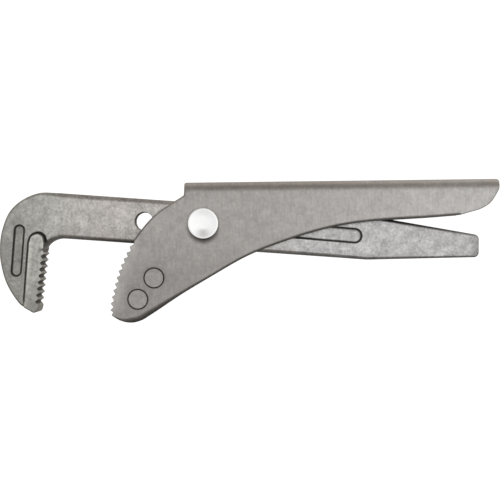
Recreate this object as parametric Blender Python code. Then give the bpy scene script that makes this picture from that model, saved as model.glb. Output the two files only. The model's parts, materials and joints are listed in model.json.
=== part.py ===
"""Pipe pliers: a folded steel channel with a toothed lower jaw, and a forged hook bar on a loose pin.

The tool lies on its rear cheek. +X runs along the spine from the jaws to the handle's end, +Y from the
jaws' open side up to the spine, and +Z from the rear cheek to the front cheek. The origin is under the
middle of the whole tool. Every piece is drawn around the pin's axis, which is where its own origin is.
"""
import math

import bmesh
import bpy
from mathutils import Matrix, Vector

MM = 0.001

# Fits and cuts
GAP = 0.3 * MM
OVERRUN = 2.0 * MM

# Folded channel, from the pin's axis
PLATE = 2.5 * MM
BEND_RADIUS = 4.0 * MM
SPINE_RISE = 19.1 * MM
SPINE_FRONT = 8.6 * MM
HANDLE_REACH = 136.15 * MM
JAW_REACH = 43.0 * MM
TOE_DROP = 45.1 * MM
BROW_FILLET = 2.4 * MM
END_CORNER = 0.9 * MM

# Forged hook bar, from the pin's axis and along the bar
BAR_THICKNESS = 8.0 * MM
BAR_RISE = 9.45 * MM
BAR_FALL = 11.3 * MM
HOOK_REACH = 92.85 * MM
HOOK_DROP = 46.3 * MM
THROAT_RADIUS = 8.0 * MM
TIP_RADIUS = 2.8 * MM
FORGED_EDGE = 1.5 * MM
PAD_EDGE = 0.7 * MM
TAIL_REACH = 127.4 * MM
TAIL_LOWER_KNEE = 76.2 * MM
TAIL_UPPER_KNEE = 71.0 * MM
TAIL_END_RISE = 3.6 * MM
TAIL_END_FALL = 6.55 * MM
TAIL_END_LEAN = 0.7 * MM
TAIL_CORNER = 2.3 * MM
SLOT_DEPTH = 0.8 * MM
SLOT_DRAFT = 0.75 * MM
HOOK_SLOT_WIDTH = 5.3 * MM
TAIL_SLOT_WIDTH = 7.0 * MM
TAIL_SLOT_START = 16.0 * MM
TAIL_SLOT_END = 73.3 * MM
TAIL_SLOT_FALL = 0.7 * MM
BAR_ANGLE = -4.71

# Holes in the bar, the rearmost of which is on the pin, in a row that falls a little towards the hook
HOLE_DIAMETER = 8.4 * MM
HOLE_PITCH = 13.64 * MM
HOLE_ROW_FALL = 1.8
HOLE_COUNT = 3

# Teeth of both jaws
CHEEK_TOOTH_PITCH = 3.07 * MM
HOOK_TOOTH_PITCH = 2.98 * MM
CHEEK_TOOTH_DEPTH = 1.4 * MM
HOOK_TOOTH_DEPTH = 1.55 * MM

# Rivets through the cheeks and the insert
RIVET_HEAD_DIAMETER = 8.8 * MM
RIVET_SHANK_DIAMETER = 6.0 * MM
RIVET_SINK = 1.6 * MM
RIVET_RIM = 0.3 * MM

# Pin and the split ring that holds it
PIN_HEAD_DIAMETER = 14.1 * MM
PIN_HEAD_HEIGHT = 2.0 * MM
PIN_HEAD_EDGE = 0.6 * MM
PIN_DISH_DEPTH = 0.25 * MM
PIN_TAIL_INSET = 0.1 * MM
PIN_LIP = 0.4 * MM
PIN_LIP_CHAMFER = 0.15 * MM
GROOVE_DEPTH = 0.7 * MM
RING_HEIGHT = 0.8 * MM
RING_WIDTH = 1.5 * MM
RING_ROOM = 0.6 * MM
RING_SPLIT = 40.0

# Sizes that follow from those above
CHANNEL_WIDTH = BAR_THICKNESS + 2 * (GAP + PLATE)
BAR_LOW = PLATE + GAP
BAR_HIGH = BAR_LOW + BAR_THICKNESS
HOLE_RADIUS = HOLE_DIAMETER / 2
PIN_RADIUS = HOLE_RADIUS - GAP
GROOVE_LOW = PIN_TAIL_INSET + PIN_LIP
RING_LOW = GROOVE_LOW + GAP
RING_HIGH = RING_LOW + RING_HEIGHT
GROOVE_HIGH = RING_HIGH + GAP
RING_INNER = PIN_RADIUS - GROOVE_DEPTH + GAP
RING_OUTER = RING_INNER + RING_WIDTH

# Outline of the cheeks, as shares of the jaw's or handle's reach and of the spine's rise or toe's drop
BROW_CORNER_SHARES = (-0.2077, 0.673)
BROW_SHARES = [(-0.3006, 0.5445), (-0.4187, 0.377), (-0.538, 0.17), (-0.651, -0.0455), (-0.7455, -0.1663)]
FIRST_GULLET_SHARES = (-0.7384, -0.2007)
JAW_LINE_SHARES = [(-0.785, -0.226), (-0.8826, -0.408), (-0.9486, -0.604), (-0.9967, -0.8027),
                   (-1.0, -0.8714), (-0.9895, -0.9213)]
LOWER_EDGE_SHARES = [(-0.9895, -0.9213), (-0.894, -0.977), (-0.7863, -1.0), (-0.6788, -0.98), (-0.5723, -0.922),
                     (-0.2509, -0.723), (0.0224, -0.543), (0.1237, -0.3705), (0.171, -0.3038),
                     (0.2241, -0.2417), (0.2873, -0.1763), (0.3584, -0.1098), (0.4294, -0.0565),
                     (0.4936, -0.0222), (0.551, -0.0018), (0.6279, 0.0366), (0.7567, 0.0806), (0.8652, 0.1315)]
NOSE_SHARES = [(0.8652, 0.1315), (0.8995, 0.199), (0.934, 0.2717), (0.9659, 0.4094), (0.9883, 0.6325),
               (0.9975, 0.773), (1.0, 0.927)]

# The insert between the cheeks and its two rivets, as shares of the jaw's reach and the toe's drop
INSERT_SHARES = [(-1.15, -0.354), (-0.2907, -0.288), (-0.5116, -0.931), (-0.5116, -1.15), (-1.15, -1.15)]
RIVET_SHARES = {"rivet_upper": (-0.5319, -0.5466), "rivet_lower": (-0.706, -0.7614)}

# Outline of the hook, as shares of the hook's reach and of the bar's rise or the hook's drop
HOOK_BACK_SHARES = [(-0.7324, 1.0), (-0.8233, 0.933), (-0.9118, 0.4857), (-0.9663, -0.0276),
                    (-0.9946, -0.2095), (-1.0, -0.3456), (-0.9921, -0.5041), (-0.9518, -0.7367),
                    (-0.8756, -0.935), (-0.8517, -0.9546)]
HOOK_TIP_SHARES = (-0.7894, -0.9784)
THROAT_SHARE = -0.783
PAD_TOP_SHARES = [(-0.7674, -0.3866), (-0.7722, -0.3434), (-0.7749, -0.2873), (-0.7851, -0.2322),
                  (-0.8121, -0.2085), (-0.8455, -0.2397), (-0.8605, -0.3002)]
PAD_TIP_SHARES = [(-0.8616, -0.9465), (-0.8272, -0.979), (-0.8035, -1.0), (-0.7878, -0.979),
                  (-0.7819, -0.933)]
HOOK_TOOTH_SHARES = [(-0.783, -0.9201), (-0.7696, -0.3726)]
HOOK_LEDGE_SHARES = [(-0.7787, -0.3683), (-0.7727, -0.3434)]
HOOK_SLOT_SHARES = [(-0.906, -0.19), (-0.9075, -0.6009)]

# Facets of arcs
SPAN_STEPS = 5
DISH_STEPS = 4
EDGE_STEPS = 3
ROUND_STEPS = 48
ARC_STEP = 10.0
SHARP_ANGLE = 32.0


def around_pin(shares, left, right, up, down):
    """Places around the pin's axis: each share is of the reach on its own side of the axis."""
    return [(x * (right if x > 0 else left), y * (up if y > 0 else down)) for x, y in shares]


def on_cheek(shares):
    return around_pin(shares, JAW_REACH, HANDLE_REACH, SPINE_RISE, TOE_DROP)


def on_hook(shares):
    return around_pin(shares, HOOK_REACH, HOOK_REACH, BAR_RISE, HOOK_DROP)


def smooth(points, steps=SPAN_STEPS):
    """A centripetal Catmull-Rom curve through the points, with its ends running on straight."""
    knots = [Vector(point) for point in points]
    run = [2 * knots[0] - knots[1]] + knots + [2 * knots[-1] - knots[-2]]
    curve = []
    for before, start, end, after in zip(run, run[1:], run[2:], run[3:]):
        lead = (start - before).length ** 0.5
        span = (end - start).length ** 0.5
        trail = (after - end).length ** 0.5
        leaving = span * ((start - before) / lead - (end - before) / (lead + span)) + (end - start)
        arriving = (end - start) + span * ((after - end) / trail - (after - start) / (span + trail))
        for step in range(steps):
            t = step / steps
            curve.append((2 * t ** 3 - 3 * t ** 2 + 1) * start + (3 * t ** 2 - 2 * t ** 3) * end
                         + (t ** 3 - 2 * t ** 2 + t) * leaving + (t ** 3 - t ** 2) * arriving)
    return curve + [knots[-1]]


def fillet(before, corner, after, radius):
    """An arc that rounds a corner, limited to half of the shorter side beside it."""
    before, corner, after = Vector(before), Vector(corner), Vector(after)
    back = (before - corner).normalized()
    ahead = (after - corner).normalized()
    half = back.angle(ahead) / 2
    limit = min((before - corner).length, (after - corner).length) / 2
    radius = min(radius, limit * math.tan(half))
    centre = corner + (back + ahead).normalized() * radius / math.sin(half)
    spoke = corner + back * radius / math.tan(half) - centre
    turn = math.pi - 2 * half
    steps = math.ceil(math.degrees(turn) / ARC_STEP)
    if back.cross(ahead) > 0:
        turn = -turn
    return [centre + Matrix.Rotation(turn * step / steps, 2) @ spoke for step in range(steps + 1)]


def toothed(line, pitch, depth):
    """The line with a V gullet cut into its left side after each pitch, and a shorter one at its end."""
    points = [line[0]]
    width = 0.0
    for start, end in zip(line, line[1:]):
        done = 0.0
        while width + (end - start).length - done >= pitch:
            done += pitch - width
            width = 0.0
            points.append(start.lerp(end, done / (end - start).length))
        width += (end - start).length - done
    points.append(line[-1])
    teeth = []
    for tip, following in zip(points, points[1:]):
        run = following - tip
        root = tip + run / 2 + Vector((-run.y, run.x)) * depth / pitch
        teeth += [tip, root]
    return teeth + [points[-1]]


def circle(radius, centre=(0.0, 0.0)):
    turns = [2 * math.pi * step / ROUND_STEPS for step in range(ROUND_STEPS)]
    return [(centre[0] + radius * math.cos(turn), centre[1] + radius * math.sin(turn)) for turn in turns]


def stadium(start, end, width):
    """A slot's outline: two half circles around its ends, joined by straight sides."""
    start, end = Vector(start), Vector(end)
    spoke = (end - start).orthogonal().normalized() * width / 2
    halves = [Matrix.Rotation(math.pi * step / ROUND_STEPS * 4, 2) for step in range(ROUND_STEPS // 4 + 1)]
    return [start + turn @ spoke for turn in halves] + [end - turn @ spoke for turn in halves]


def inset(outline, distance):
    """The outline moved in by a distance, each corner along its own bisector."""
    corners = [Vector(point) for point in outline]
    moved = []
    for before, corner, after in zip(corners[-1:] + corners, corners, corners[1:] + corners[:1]):
        arriving = (corner - before).normalized()
        leaving = (after - corner).normalized()
        inward = Vector((-arriving.y - leaving.y, arriving.x + leaving.x)).normalized()
        moved.append(corner + inward * distance / inward.dot(Vector((-leaving.y, leaving.x))))
    return moved


def stack(name, layers):
    """A closed solid through level outlines of as many points each, from the lowest to the highest."""
    form = bmesh.new()
    rings = [[form.verts.new((x, y, height)) for x, y in outline] for outline, height in layers]
    for low, high in zip(rings, rings[1:]):
        for a, b, c, d in zip(low, low[1:] + low[:1], high[1:] + high[:1], high):
            form.faces.new((a, b, c, d))
    form.faces.new(rings[0])
    form.faces.new(rings[-1])
    bmesh.ops.recalc_face_normals(form, faces=form.faces)
    mesh = bpy.data.meshes.new(name)
    form.to_mesh(mesh)
    form.free()
    piece = bpy.data.objects.new(name, mesh)
    bpy.context.collection.objects.link(piece)
    return piece


def plate(name, outline, low, high):
    return stack(name, [(outline, low), (outline, high)])


def rounded_plate(name, outline, low, high, radius):
    """A plate whose rims are rounded, as a forging's are, limited by half its thickness."""
    radius = min(radius, (high - low) / 2)
    turns = [math.pi / 2 * step / EDGE_STEPS for step in range(EDGE_STEPS + 1)]
    rims = [(inset(outline, radius * (1 - math.sin(turn))), radius * (1 - math.cos(turn))) for turn in turns]
    lower = [(rim, low + rise) for rim, rise in rims]
    upper = [(rim, high - rise) for rim, rise in reversed(rims)]
    return stack(name, lower + upper)


def turned(name, profile, centre=(0.0, 0.0)):
    """A solid of revolution about an upright axis, from (radius, height) pairs from the bottom up."""
    return stack(name, [(circle(radius, centre), height) for radius, height in profile])


def combine(body, tool, operation):
    """Joins, cuts or trims the body with the tool, which is used up."""
    modifier = body.modifiers.new(tool.name, 'BOOLEAN')
    modifier.object = tool
    modifier.operation = operation
    modifier.solver = 'EXACT'
    evaluated = body.evaluated_get(bpy.context.evaluated_depsgraph_get())
    body.data = bpy.data.meshes.new_from_object(evaluated)
    body.modifiers.clear()
    bpy.data.objects.remove(tool)


def steel(name, tone, roughness):
    material = bpy.data.materials.new(name)
    material.use_nodes = True
    shader = material.node_tree.nodes["Principled BSDF"]
    shader.inputs["Base Color"].default_value = (*tone, 1.0)
    shader.inputs["Metallic"].default_value = 1.0
    shader.inputs["Roughness"].default_value = roughness
    return material


def finish(piece, holder, material):
    """Names the mesh, gives it its steel, shades its round faces smooth and hangs it on its holder."""
    piece.data.name = piece.name
    piece.data.materials.clear()
    piece.data.materials.append(material)
    piece.data.shade_smooth()
    piece.data.set_sharp_from_angle(angle=math.radians(SHARP_ANGLE))
    piece.parent = holder


def cheek_outline():
    """The pressing's side view: front edge, brow, teeth, toe, lower edge, nose and spine."""
    front = (-SPINE_FRONT, SPINE_RISE)
    end = (HANDLE_REACH, SPINE_RISE)
    corner = on_cheek([BROW_CORNER_SHARES])[0]
    brow = smooth(on_cheek(BROW_SHARES))
    gullet = [Vector(place) for place in on_cheek([FIRST_GULLET_SHARES])]
    teeth = toothed(smooth(on_cheek(JAW_LINE_SHARES)), CHEEK_TOOTH_PITCH, CHEEK_TOOTH_DEPTH)
    lower = smooth(on_cheek(LOWER_EDGE_SHARES))
    nose = smooth(on_cheek(NOSE_SHARES))
    return ([Vector(front)] + fillet(front, corner, brow[0], BROW_FILLET) + brow + gullet + teeth + lower[1:]
            + nose[1:] + fillet(nose[-1], end, front, END_CORNER))


def folded_sheet():
    """The channel's cross-section, drawn along the whole tool, with its height along -X of the drawing."""
    low = -TOE_DROP - OVERRUN
    inner_rise = SPINE_RISE - PLATE
    inner_radius = BEND_RADIUS - PLATE
    outer = [(-CHANNEL_WIDTH, low), (0.0, low), (0.0, SPINE_RISE), (-CHANNEL_WIDTH, SPINE_RISE)]
    inner = [(-PLATE, low), (-CHANNEL_WIDTH + PLATE, low), (-CHANNEL_WIDTH + PLATE, inner_rise),
             (-PLATE, inner_rise)]
    section = ([inner[0], outer[1]] + fillet(outer[1], outer[2], outer[3], BEND_RADIUS)
               + fillet(outer[2], outer[3], outer[0], BEND_RADIUS) + [outer[0], inner[1]]
               + fillet(inner[1], inner[2], inner[3], inner_radius)
               + fillet(inner[2], inner[3], inner[0], inner_radius))
    sheet = plate("sheet", section, -JAW_REACH - OVERRUN, HANDLE_REACH + OVERRUN)
    sheet.data.transform(Matrix.Rotation(math.pi / 2, 4, 'Y'))
    return sheet


def rivet_profile(grow, run_out):
    """A rivet with a flush countersunk head at each end, grown and run out for its hole."""
    head = RIVET_HEAD_DIAMETER / 2 + grow
    shank = RIVET_SHANK_DIAMETER / 2 + grow
    return [(head, -run_out), (head, RIVET_RIM), (shank, RIVET_SINK), (shank, CHANNEL_WIDTH - RIVET_SINK),
            (head, CHANNEL_WIDTH - RIVET_RIM), (head, CHANNEL_WIDTH + run_out)]


def drill_for_rivets(piece):
    for centre in on_cheek(RIVET_SHARES.values()):
        combine(piece, turned("rivet_hole", rivet_profile(GAP, OVERRUN), centre), 'DIFFERENCE')


def make_channel():
    channel = plate("channel_handle", cheek_outline(), -OVERRUN, CHANNEL_WIDTH + OVERRUN)
    combine(channel, folded_sheet(), 'INTERSECT')
    bore = [(RING_OUTER + RING_ROOM, -OVERRUN), (RING_OUTER + RING_ROOM, GROOVE_HIGH),
            (HOLE_RADIUS, GROOVE_HIGH), (HOLE_RADIUS, CHANNEL_WIDTH + OVERRUN)]
    combine(channel, turned("pin_bore", bore), 'DIFFERENCE')
    drill_for_rivets(channel)
    return channel


def make_insert():
    insert = plate("jaw_insert", cheek_outline(), BAR_LOW, BAR_HIGH)
    blank = plate("insert_blank", on_cheek(INSERT_SHARES), BAR_LOW - OVERRUN, BAR_HIGH + OVERRUN)
    combine(insert, blank, 'INTERSECT')
    drill_for_rivets(insert)
    return insert


def bar_outline():
    """The forging's side view: lower edge, tail, upper edge and the back of the hook."""
    knee_low = (TAIL_LOWER_KNEE, -BAR_FALL)
    knee_high = (TAIL_UPPER_KNEE, BAR_RISE)
    end_low = (TAIL_REACH, -TAIL_END_FALL)
    end_high = (TAIL_REACH - TAIL_END_LEAN, TAIL_END_RISE)
    back = smooth(on_hook(HOOK_BACK_SHARES))
    tip = on_hook([HOOK_TIP_SHARES])[0]
    throat = (THROAT_SHARE * HOOK_REACH, -BAR_FALL)
    return (fillet(tip, throat, knee_low, THROAT_RADIUS) + [Vector(knee_low)]
            + fillet(knee_low, end_low, end_high, TAIL_CORNER) + fillet(end_low, end_high, knee_high, TAIL_CORNER)
            + [Vector(knee_high)] + back + fillet(back[-1], tip, throat, TIP_RADIUS))


def cut_slot(bar, start, end, width):
    """A shallow forged recess with sloping walls, in both faces of the bar."""
    floor = stadium(start, end, width - 2 * SLOT_DRAFT)
    mouth = stadium(start, end, width + 2 * SLOT_DRAFT)
    upper = stack("slot_upper", [(floor, BAR_HIGH - SLOT_DEPTH), (mouth, BAR_HIGH + SLOT_DEPTH)])
    lower = stack("slot_lower", [(mouth, BAR_LOW - SLOT_DEPTH), (floor, BAR_LOW + SLOT_DEPTH)])
    combine(bar, upper, 'DIFFERENCE')
    combine(bar, lower, 'DIFFERENCE')


def make_hook_bar():
    edge = min(FORGED_EDGE, TAIL_CORNER)
    bar = rounded_plate("hook_bar", bar_outline(), BAR_LOW, BAR_HIGH, edge)
    pad_outline = smooth(on_hook(PAD_TIP_SHARES)) + smooth(on_hook(PAD_TOP_SHARES))
    combine(bar, rounded_plate("jaw_pad", pad_outline, 0.0, CHANNEL_WIDTH, PAD_EDGE), 'UNION')
    teeth = toothed(smooth(on_hook(HOOK_TOOTH_SHARES)), HOOK_TOOTH_PITCH, HOOK_TOOTH_DEPTH)
    ledge = [Vector(place) for place in on_hook(HOOK_LEDGE_SHARES)]
    clear = teeth[-1].x + OVERRUN
    comb = teeth[:-1] + ledge + [Vector((clear, ledge[-1].y)), Vector((clear, teeth[0].y))]
    combine(bar, plate("tooth_comb", comb, -OVERRUN, CHANNEL_WIDTH + OVERRUN), 'DIFFERENCE')
    row = Matrix.Rotation(math.radians(HOLE_ROW_FALL), 2)
    for number in range(HOLE_COUNT):
        centre = row @ Vector((-number * HOLE_PITCH, 0.0))
        hole = plate("pin_hole", circle(HOLE_RADIUS, centre), BAR_LOW - OVERRUN, BAR_HIGH + OVERRUN)
        combine(bar, hole, 'DIFFERENCE')
    cut_slot(bar, *on_hook(HOOK_SLOT_SHARES), HOOK_SLOT_WIDTH)
    tail_ends = [(TAIL_SLOT_START + TAIL_SLOT_WIDTH / 2, 0.0),
                 (TAIL_SLOT_END - TAIL_SLOT_WIDTH / 2, -TAIL_SLOT_FALL)]
    cut_slot(bar, *tail_ends, TAIL_SLOT_WIDTH)
    return bar


def make_pin():
    """The loose pin: a lipped tail, a ring groove, a plain shank and a dished head."""
    head_low = CHANNEL_WIDTH + GAP
    head_high = head_low + PIN_HEAD_HEIGHT
    head_radius = PIN_HEAD_DIAMETER / 2
    dish_radius = head_radius - PIN_HEAD_EDGE
    turns = [math.pi / 2 * step / EDGE_STEPS for step in range(EDGE_STEPS + 1)]
    edge = [(dish_radius + PIN_HEAD_EDGE * math.cos(turn), head_high - PIN_HEAD_EDGE * (1 - math.sin(turn)))
            for turn in turns]
    dish_shares = [step / DISH_STEPS for step in range(DISH_STEPS - 1, 0, -1)]
    dish = [(dish_radius * share, head_high - PIN_DISH_DEPTH * (1 - share ** 2)) for share in dish_shares]
    profile = [(PIN_RADIUS - PIN_LIP_CHAMFER, PIN_TAIL_INSET), (PIN_RADIUS, PIN_TAIL_INSET + PIN_LIP_CHAMFER),
               (PIN_RADIUS, GROOVE_LOW), (PIN_RADIUS - GROOVE_DEPTH, GROOVE_LOW),
               (PIN_RADIUS - GROOVE_DEPTH, GROOVE_HIGH), (PIN_RADIUS, GROOVE_HIGH), (PIN_RADIUS, head_low),
               (head_radius, head_low)] + edge + dish
    return turned("pivot_pin", profile)


def make_ring():
    """A flat split ring: an outer arc and an inner arc back, with the split between their ends."""
    start = math.radians(RING_SPLIT / 2)
    sweep = 2 * math.pi - 2 * start
    turns = [start + sweep * step / ROUND_STEPS for step in range(ROUND_STEPS + 1)]
    outer = [(RING_OUTER * math.cos(turn), RING_OUTER * math.sin(turn)) for turn in turns]
    inner = [(RING_INNER * math.cos(turn), RING_INNER * math.sin(turn)) for turn in reversed(turns)]
    return plate("pin_snap_ring", outer + inner, RING_LOW, RING_HIGH)


def pin_place():
    """Where the pin's axis goes, so that the origin is under the middle of the whole tool."""
    bar_turn = Matrix.Rotation(math.radians(BAR_ANGLE), 2)
    points = cheek_outline() + [bar_turn @ point for point in bar_outline()]
    middles = [(min(values) + max(values)) / 2 for values in zip(*points)]
    return (-middles[0], -middles[1], 0.0)


for leftover in list(bpy.data.objects):
    bpy.data.objects.remove(leftover)

pressed = steel("pressed_steel", (0.40, 0.39, 0.37), 0.42)
forged = steel("forged_steel", (0.45, 0.44, 0.42), 0.48)
milled = steel("milled_steel", (0.38, 0.37, 0.36), 0.4)
riveted = steel("rivet_steel", (0.42, 0.41, 0.39), 0.38)
bright = steel("bright_steel", (0.86, 0.86, 0.87), 0.22)
spring = steel("spring_steel", (0.30, 0.30, 0.31), 0.35)

pin_axis = bpy.data.objects.new("pin_axis", None)
bpy.context.collection.objects.link(pin_axis)
pin_axis.location = pin_place()
bar_axis = bpy.data.objects.new("bar_axis", None)
bpy.context.collection.objects.link(bar_axis)
bar_axis.parent = pin_axis
bar_axis.rotation_euler.z = math.radians(BAR_ANGLE)

finish(make_channel(), pin_axis, pressed)
finish(make_insert(), pin_axis, milled)
for rivet, place in zip(RIVET_SHARES, on_cheek(RIVET_SHARES.values())):
    finish(turned(rivet, rivet_profile(0.0, 0.0), place), pin_axis, riveted)
finish(make_hook_bar(), bar_axis, forged)
finish(make_pin(), pin_axis, bright)
finish(make_ring(), pin_axis, spring)
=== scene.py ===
# %% [markdown]
# Pipe pliers, dressed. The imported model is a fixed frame: every piece is there at its real size and place,
# but with flat facets and bare edges. This lesson makes the fine surface of each piece around that frame,
# with the rounded edges, steel and residue that the real tool shows, and it never moves or resizes the
# frame. Shapes are worked out with numpy in millimetres, and become metres when they are put into a mesh.

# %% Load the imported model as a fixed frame
import json
import math

import bmesh
import bpy
import numpy as np
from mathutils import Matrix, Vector
from mathutils.geometry import delaunay_2d_cdt

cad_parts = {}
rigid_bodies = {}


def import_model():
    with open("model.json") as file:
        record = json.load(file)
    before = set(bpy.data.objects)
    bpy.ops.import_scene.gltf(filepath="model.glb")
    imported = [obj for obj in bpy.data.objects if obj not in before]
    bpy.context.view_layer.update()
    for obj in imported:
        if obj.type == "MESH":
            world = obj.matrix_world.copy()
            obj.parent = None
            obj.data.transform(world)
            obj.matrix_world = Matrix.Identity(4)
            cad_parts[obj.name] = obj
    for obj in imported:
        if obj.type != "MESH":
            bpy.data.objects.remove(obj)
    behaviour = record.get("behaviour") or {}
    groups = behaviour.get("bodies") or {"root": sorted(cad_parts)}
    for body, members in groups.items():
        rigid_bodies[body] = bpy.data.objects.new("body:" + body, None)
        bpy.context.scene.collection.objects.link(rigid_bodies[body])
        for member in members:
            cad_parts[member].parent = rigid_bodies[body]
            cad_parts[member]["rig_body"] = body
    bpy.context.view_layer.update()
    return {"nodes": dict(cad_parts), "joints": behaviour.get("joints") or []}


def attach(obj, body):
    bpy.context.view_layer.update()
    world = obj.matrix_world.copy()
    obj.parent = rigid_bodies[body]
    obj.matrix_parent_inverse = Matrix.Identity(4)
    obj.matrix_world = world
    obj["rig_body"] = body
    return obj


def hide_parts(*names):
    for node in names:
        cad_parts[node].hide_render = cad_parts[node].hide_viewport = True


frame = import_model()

MM = 0.001

# %% [markdown]
# The tool lies flat and was photographed from straight above. The camera could be placed by eye, but its
# place follows from a few things: the frame is 231.8 mm wide at half the tool's height, the far and near
# faces are shifted as a camera about half a metre away shifts them, and the spine is tilted by less than a
# degree.

# %% Camera
CAMERA_PLACE = (0.19, 0.6, 516.8)
CAMERA_ROLL = -0.71
SENSOR = 36.0
VIEW_WIDTH = 231.8
VIEW_DISTANCE = 510.0

camera_data = bpy.data.cameras.new("camera")
camera_data.sensor_width = SENSOR
camera_data.lens = SENSOR * VIEW_DISTANCE / VIEW_WIDTH
camera = bpy.data.objects.new("camera", camera_data)
camera.location = Vector(CAMERA_PLACE) * MM
camera.rotation_euler.z = math.radians(CAMERA_ROLL)
bpy.context.collection.objects.link(camera)
bpy.context.scene.camera = camera
print("Lens in mm:", round(camera_data.lens, 1))

# %% [markdown]
# Sky, floor and steels are all node trees. Wiring nodes one by one hides what they compute, so a small class
# wraps a socket: sums and products of such wires write the Math nodes by themselves, and one method makes any
# other node. The shaders further down then read like the formulas that they are.

# %% Node trees as expressions
class Wire:
    """A socket in a node tree. Arithmetic on it adds Math nodes to the tree."""

    def __init__(self, tree, socket=None):
        self.tree = tree
        self.socket = socket

    def make(self, kind, settings=(), values=(), output=0):
        """A node of a kind. Its settings come first, then each of its sockets gets a number, colour or
        wire."""
        node = self.tree.nodes.new(kind)
        for name, setting in dict(settings).items():
            setattr(node, name, setting)
        for name, value in dict(values).items():
            if isinstance(value, Wire):
                self.tree.links.new(value.socket, node.inputs[name])
            else:
                node.inputs[name].default_value = value
        return Wire(self.tree, node.outputs[output] if node.outputs else None)

    def math(self, operation, *values):
        """A Math node that works on numbers and wires."""
        return self.make("ShaderNodeMath", {"operation": operation}, dict(enumerate(values)))

    def __add__(self, other):
        return self.math("ADD", self, other)

    def __sub__(self, other):
        return self.math("SUBTRACT", self, other)

    def __mul__(self, other):
        return self.math("MULTIPLY", self, other)

    def __rsub__(self, other):
        return self.math("SUBTRACT", other, self)

    __radd__ = __add__
    __rmul__ = __mul__

    def ease(self, start, end, low=0.0, high=1.0):
        """A number that eases from low to high while this wire goes from start to end."""
        values = {"Value": self, "From Min": start, "From Max": end, "To Min": low, "To Max": high}
        return self.make("ShaderNodeMapRange", {"interpolation_type": "SMOOTHSTEP"}, values)

    def blend(self, first, second):
        """A colour that goes from the first to the second while this wire goes from 0 to 1."""
        return self.make("ShaderNodeMix", {"data_type": "RGBA"}, {0: self, 6: first, 7: second}, 2)

    def scaled(self, factors):
        """A vector times a number for each axis."""
        return self.make("ShaderNodeVectorMath", {"operation": "MULTIPLY"}, {0: self, 1: factors})

    def axis(self, number):
        """One axis of a vector."""
        return self.make("ShaderNodeSeparateXYZ", values={0: self}, output=number)


def grey(tone, warmth=0.0):
    """A colour of a grey tone, with red raised and blue lowered by the share of warmth."""
    return (tone * (1 + warmth), tone, tone * (1 - warmth), 1.0)


# %% [markdown]
# Bare steel has no colour of its own to speak of: it shows what is around it, blurred. So the light is part
# of the finish. The sky here is a light tent: bright overhead and a little beyond, dim and slightly warm
# towards the sides, and dimmest on the near side. Flat faces look up and turn light, and every edge looks
# sideways and turns dark, more so below. The white floor glows, so that it is pure white right up to the
# tool, and the steel doesn't mirror it.

# %% Floor and sky
FLOOR_WIDTH = 12000.0
FLOOR_DROP = 0.02
FLOOR_TONE = 0.3
FLOOR_GLOW = 1.0
TENT_TOP = 1.0
TENT_EDGE_RISES = (0.7, 0.985)
TENT_SIDE = 0.25
SIDE_TILT = 0.08
SIDE_WARMTH = 0.08
BELOW_TONE = 0.38
BELOW_TILT = 0.3
BRIGHTER_RIGHT = 0.6
BRIGHTER_FAR = 0.1
HORIZON = (-0.05, 0.05)


def sheet_of_floor(width):
    """A level square of one face, facing up, whose middle is under the origin. It lies a hair lower than the
    cheek that rests on it, so that the two are never in one plane."""
    mesh = bpy.data.meshes.new("floor")
    half = width * MM / 2
    low = -FLOOR_DROP * MM
    corners = [(-half, -half, low), (half, -half, low), (half, half, low), (-half, half, low)]
    mesh.from_pydata(corners, [], [(0, 1, 2, 3)])
    floor = bpy.data.objects.new("floor", mesh)
    bpy.context.collection.objects.link(floor)
    return floor


def shader_of(material):
    """A material's emptied tree as a wire, and its new Principled node."""
    material.use_nodes = True
    tree = material.node_tree
    tree.nodes.clear()
    shader = tree.nodes.new("ShaderNodeBsdfPrincipled")
    output = tree.nodes.new("ShaderNodeOutputMaterial")
    tree.links.new(shader.outputs[0], output.inputs[0])
    return Wire(tree), shader


def white_floor():
    """A matt white that also glows."""
    material = bpy.data.materials.new("white_floor")
    _, shader = shader_of(material)
    shader.inputs["Base Color"].default_value = grey(FLOOR_TONE)
    shader.inputs["Roughness"].default_value = 1.0
    shader.inputs["Specular IOR Level"].default_value = 0.0
    shader.inputs["Emission Color"].default_value = grey(1.0)
    shader.inputs["Emission Strength"].default_value = FLOOR_GLOW
    return material


def tent_sky():
    """The sky's brightness by direction. Above, it eases with the rise from the sides' tone to the top's;
    below the horizon it has a tone of its own. Both are lower towards -Y, and the top is higher towards +X
    and +Y."""
    sky = bpy.data.worlds.new("tent")
    sky.use_nodes = True
    tree = sky.node_tree
    tree.nodes.clear()
    wires = Wire(tree)
    toward = wires.make("ShaderNodeTexCoord", output="Generated")
    right, far, rise = (toward.axis(number) for number in range(3))
    overhead = rise.ease(*TENT_EDGE_RISES)
    side = far * SIDE_TILT + TENT_SIDE
    top = right * BRIGHTER_RIGHT + far * BRIGHTER_FAR + TENT_TOP
    above = side + overhead * (top - side)
    below = far * BELOW_TILT + BELOW_TONE
    strength = below + rise.ease(*HORIZON) * (above - below)
    colour = overhead.blend(grey(1.0, SIDE_WARMTH), grey(1.0))
    light = wires.make("ShaderNodeBackground", values={"Color": colour, "Strength": strength})
    wires.make("ShaderNodeOutputWorld", values={"Surface": light})
    return sky


bpy.context.scene.view_settings.view_transform = "Standard"
floor = sheet_of_floor(FLOOR_WIDTH)
floor.data.materials.append(white_floor())
floor.visible_glossy = False
bpy.context.scene.world = tent_sky()
print("Nodes in the sky:", len(bpy.context.scene.world.node_tree.nodes))

# %% [markdown]
# The frame's own sizes drive everything that follows. The pin's axis is the joint's, the channel's reach and
# rise are read from its box, and the bar's are read from its points once its small turn is undone. A smooth
# curve bulges past the frame's straight facets, so two of the sizes are taken in by that hair.

# %% Sizes read from the frame
BAR_ANGLE = -4.71
CURVE_SLACK = 0.015

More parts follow.
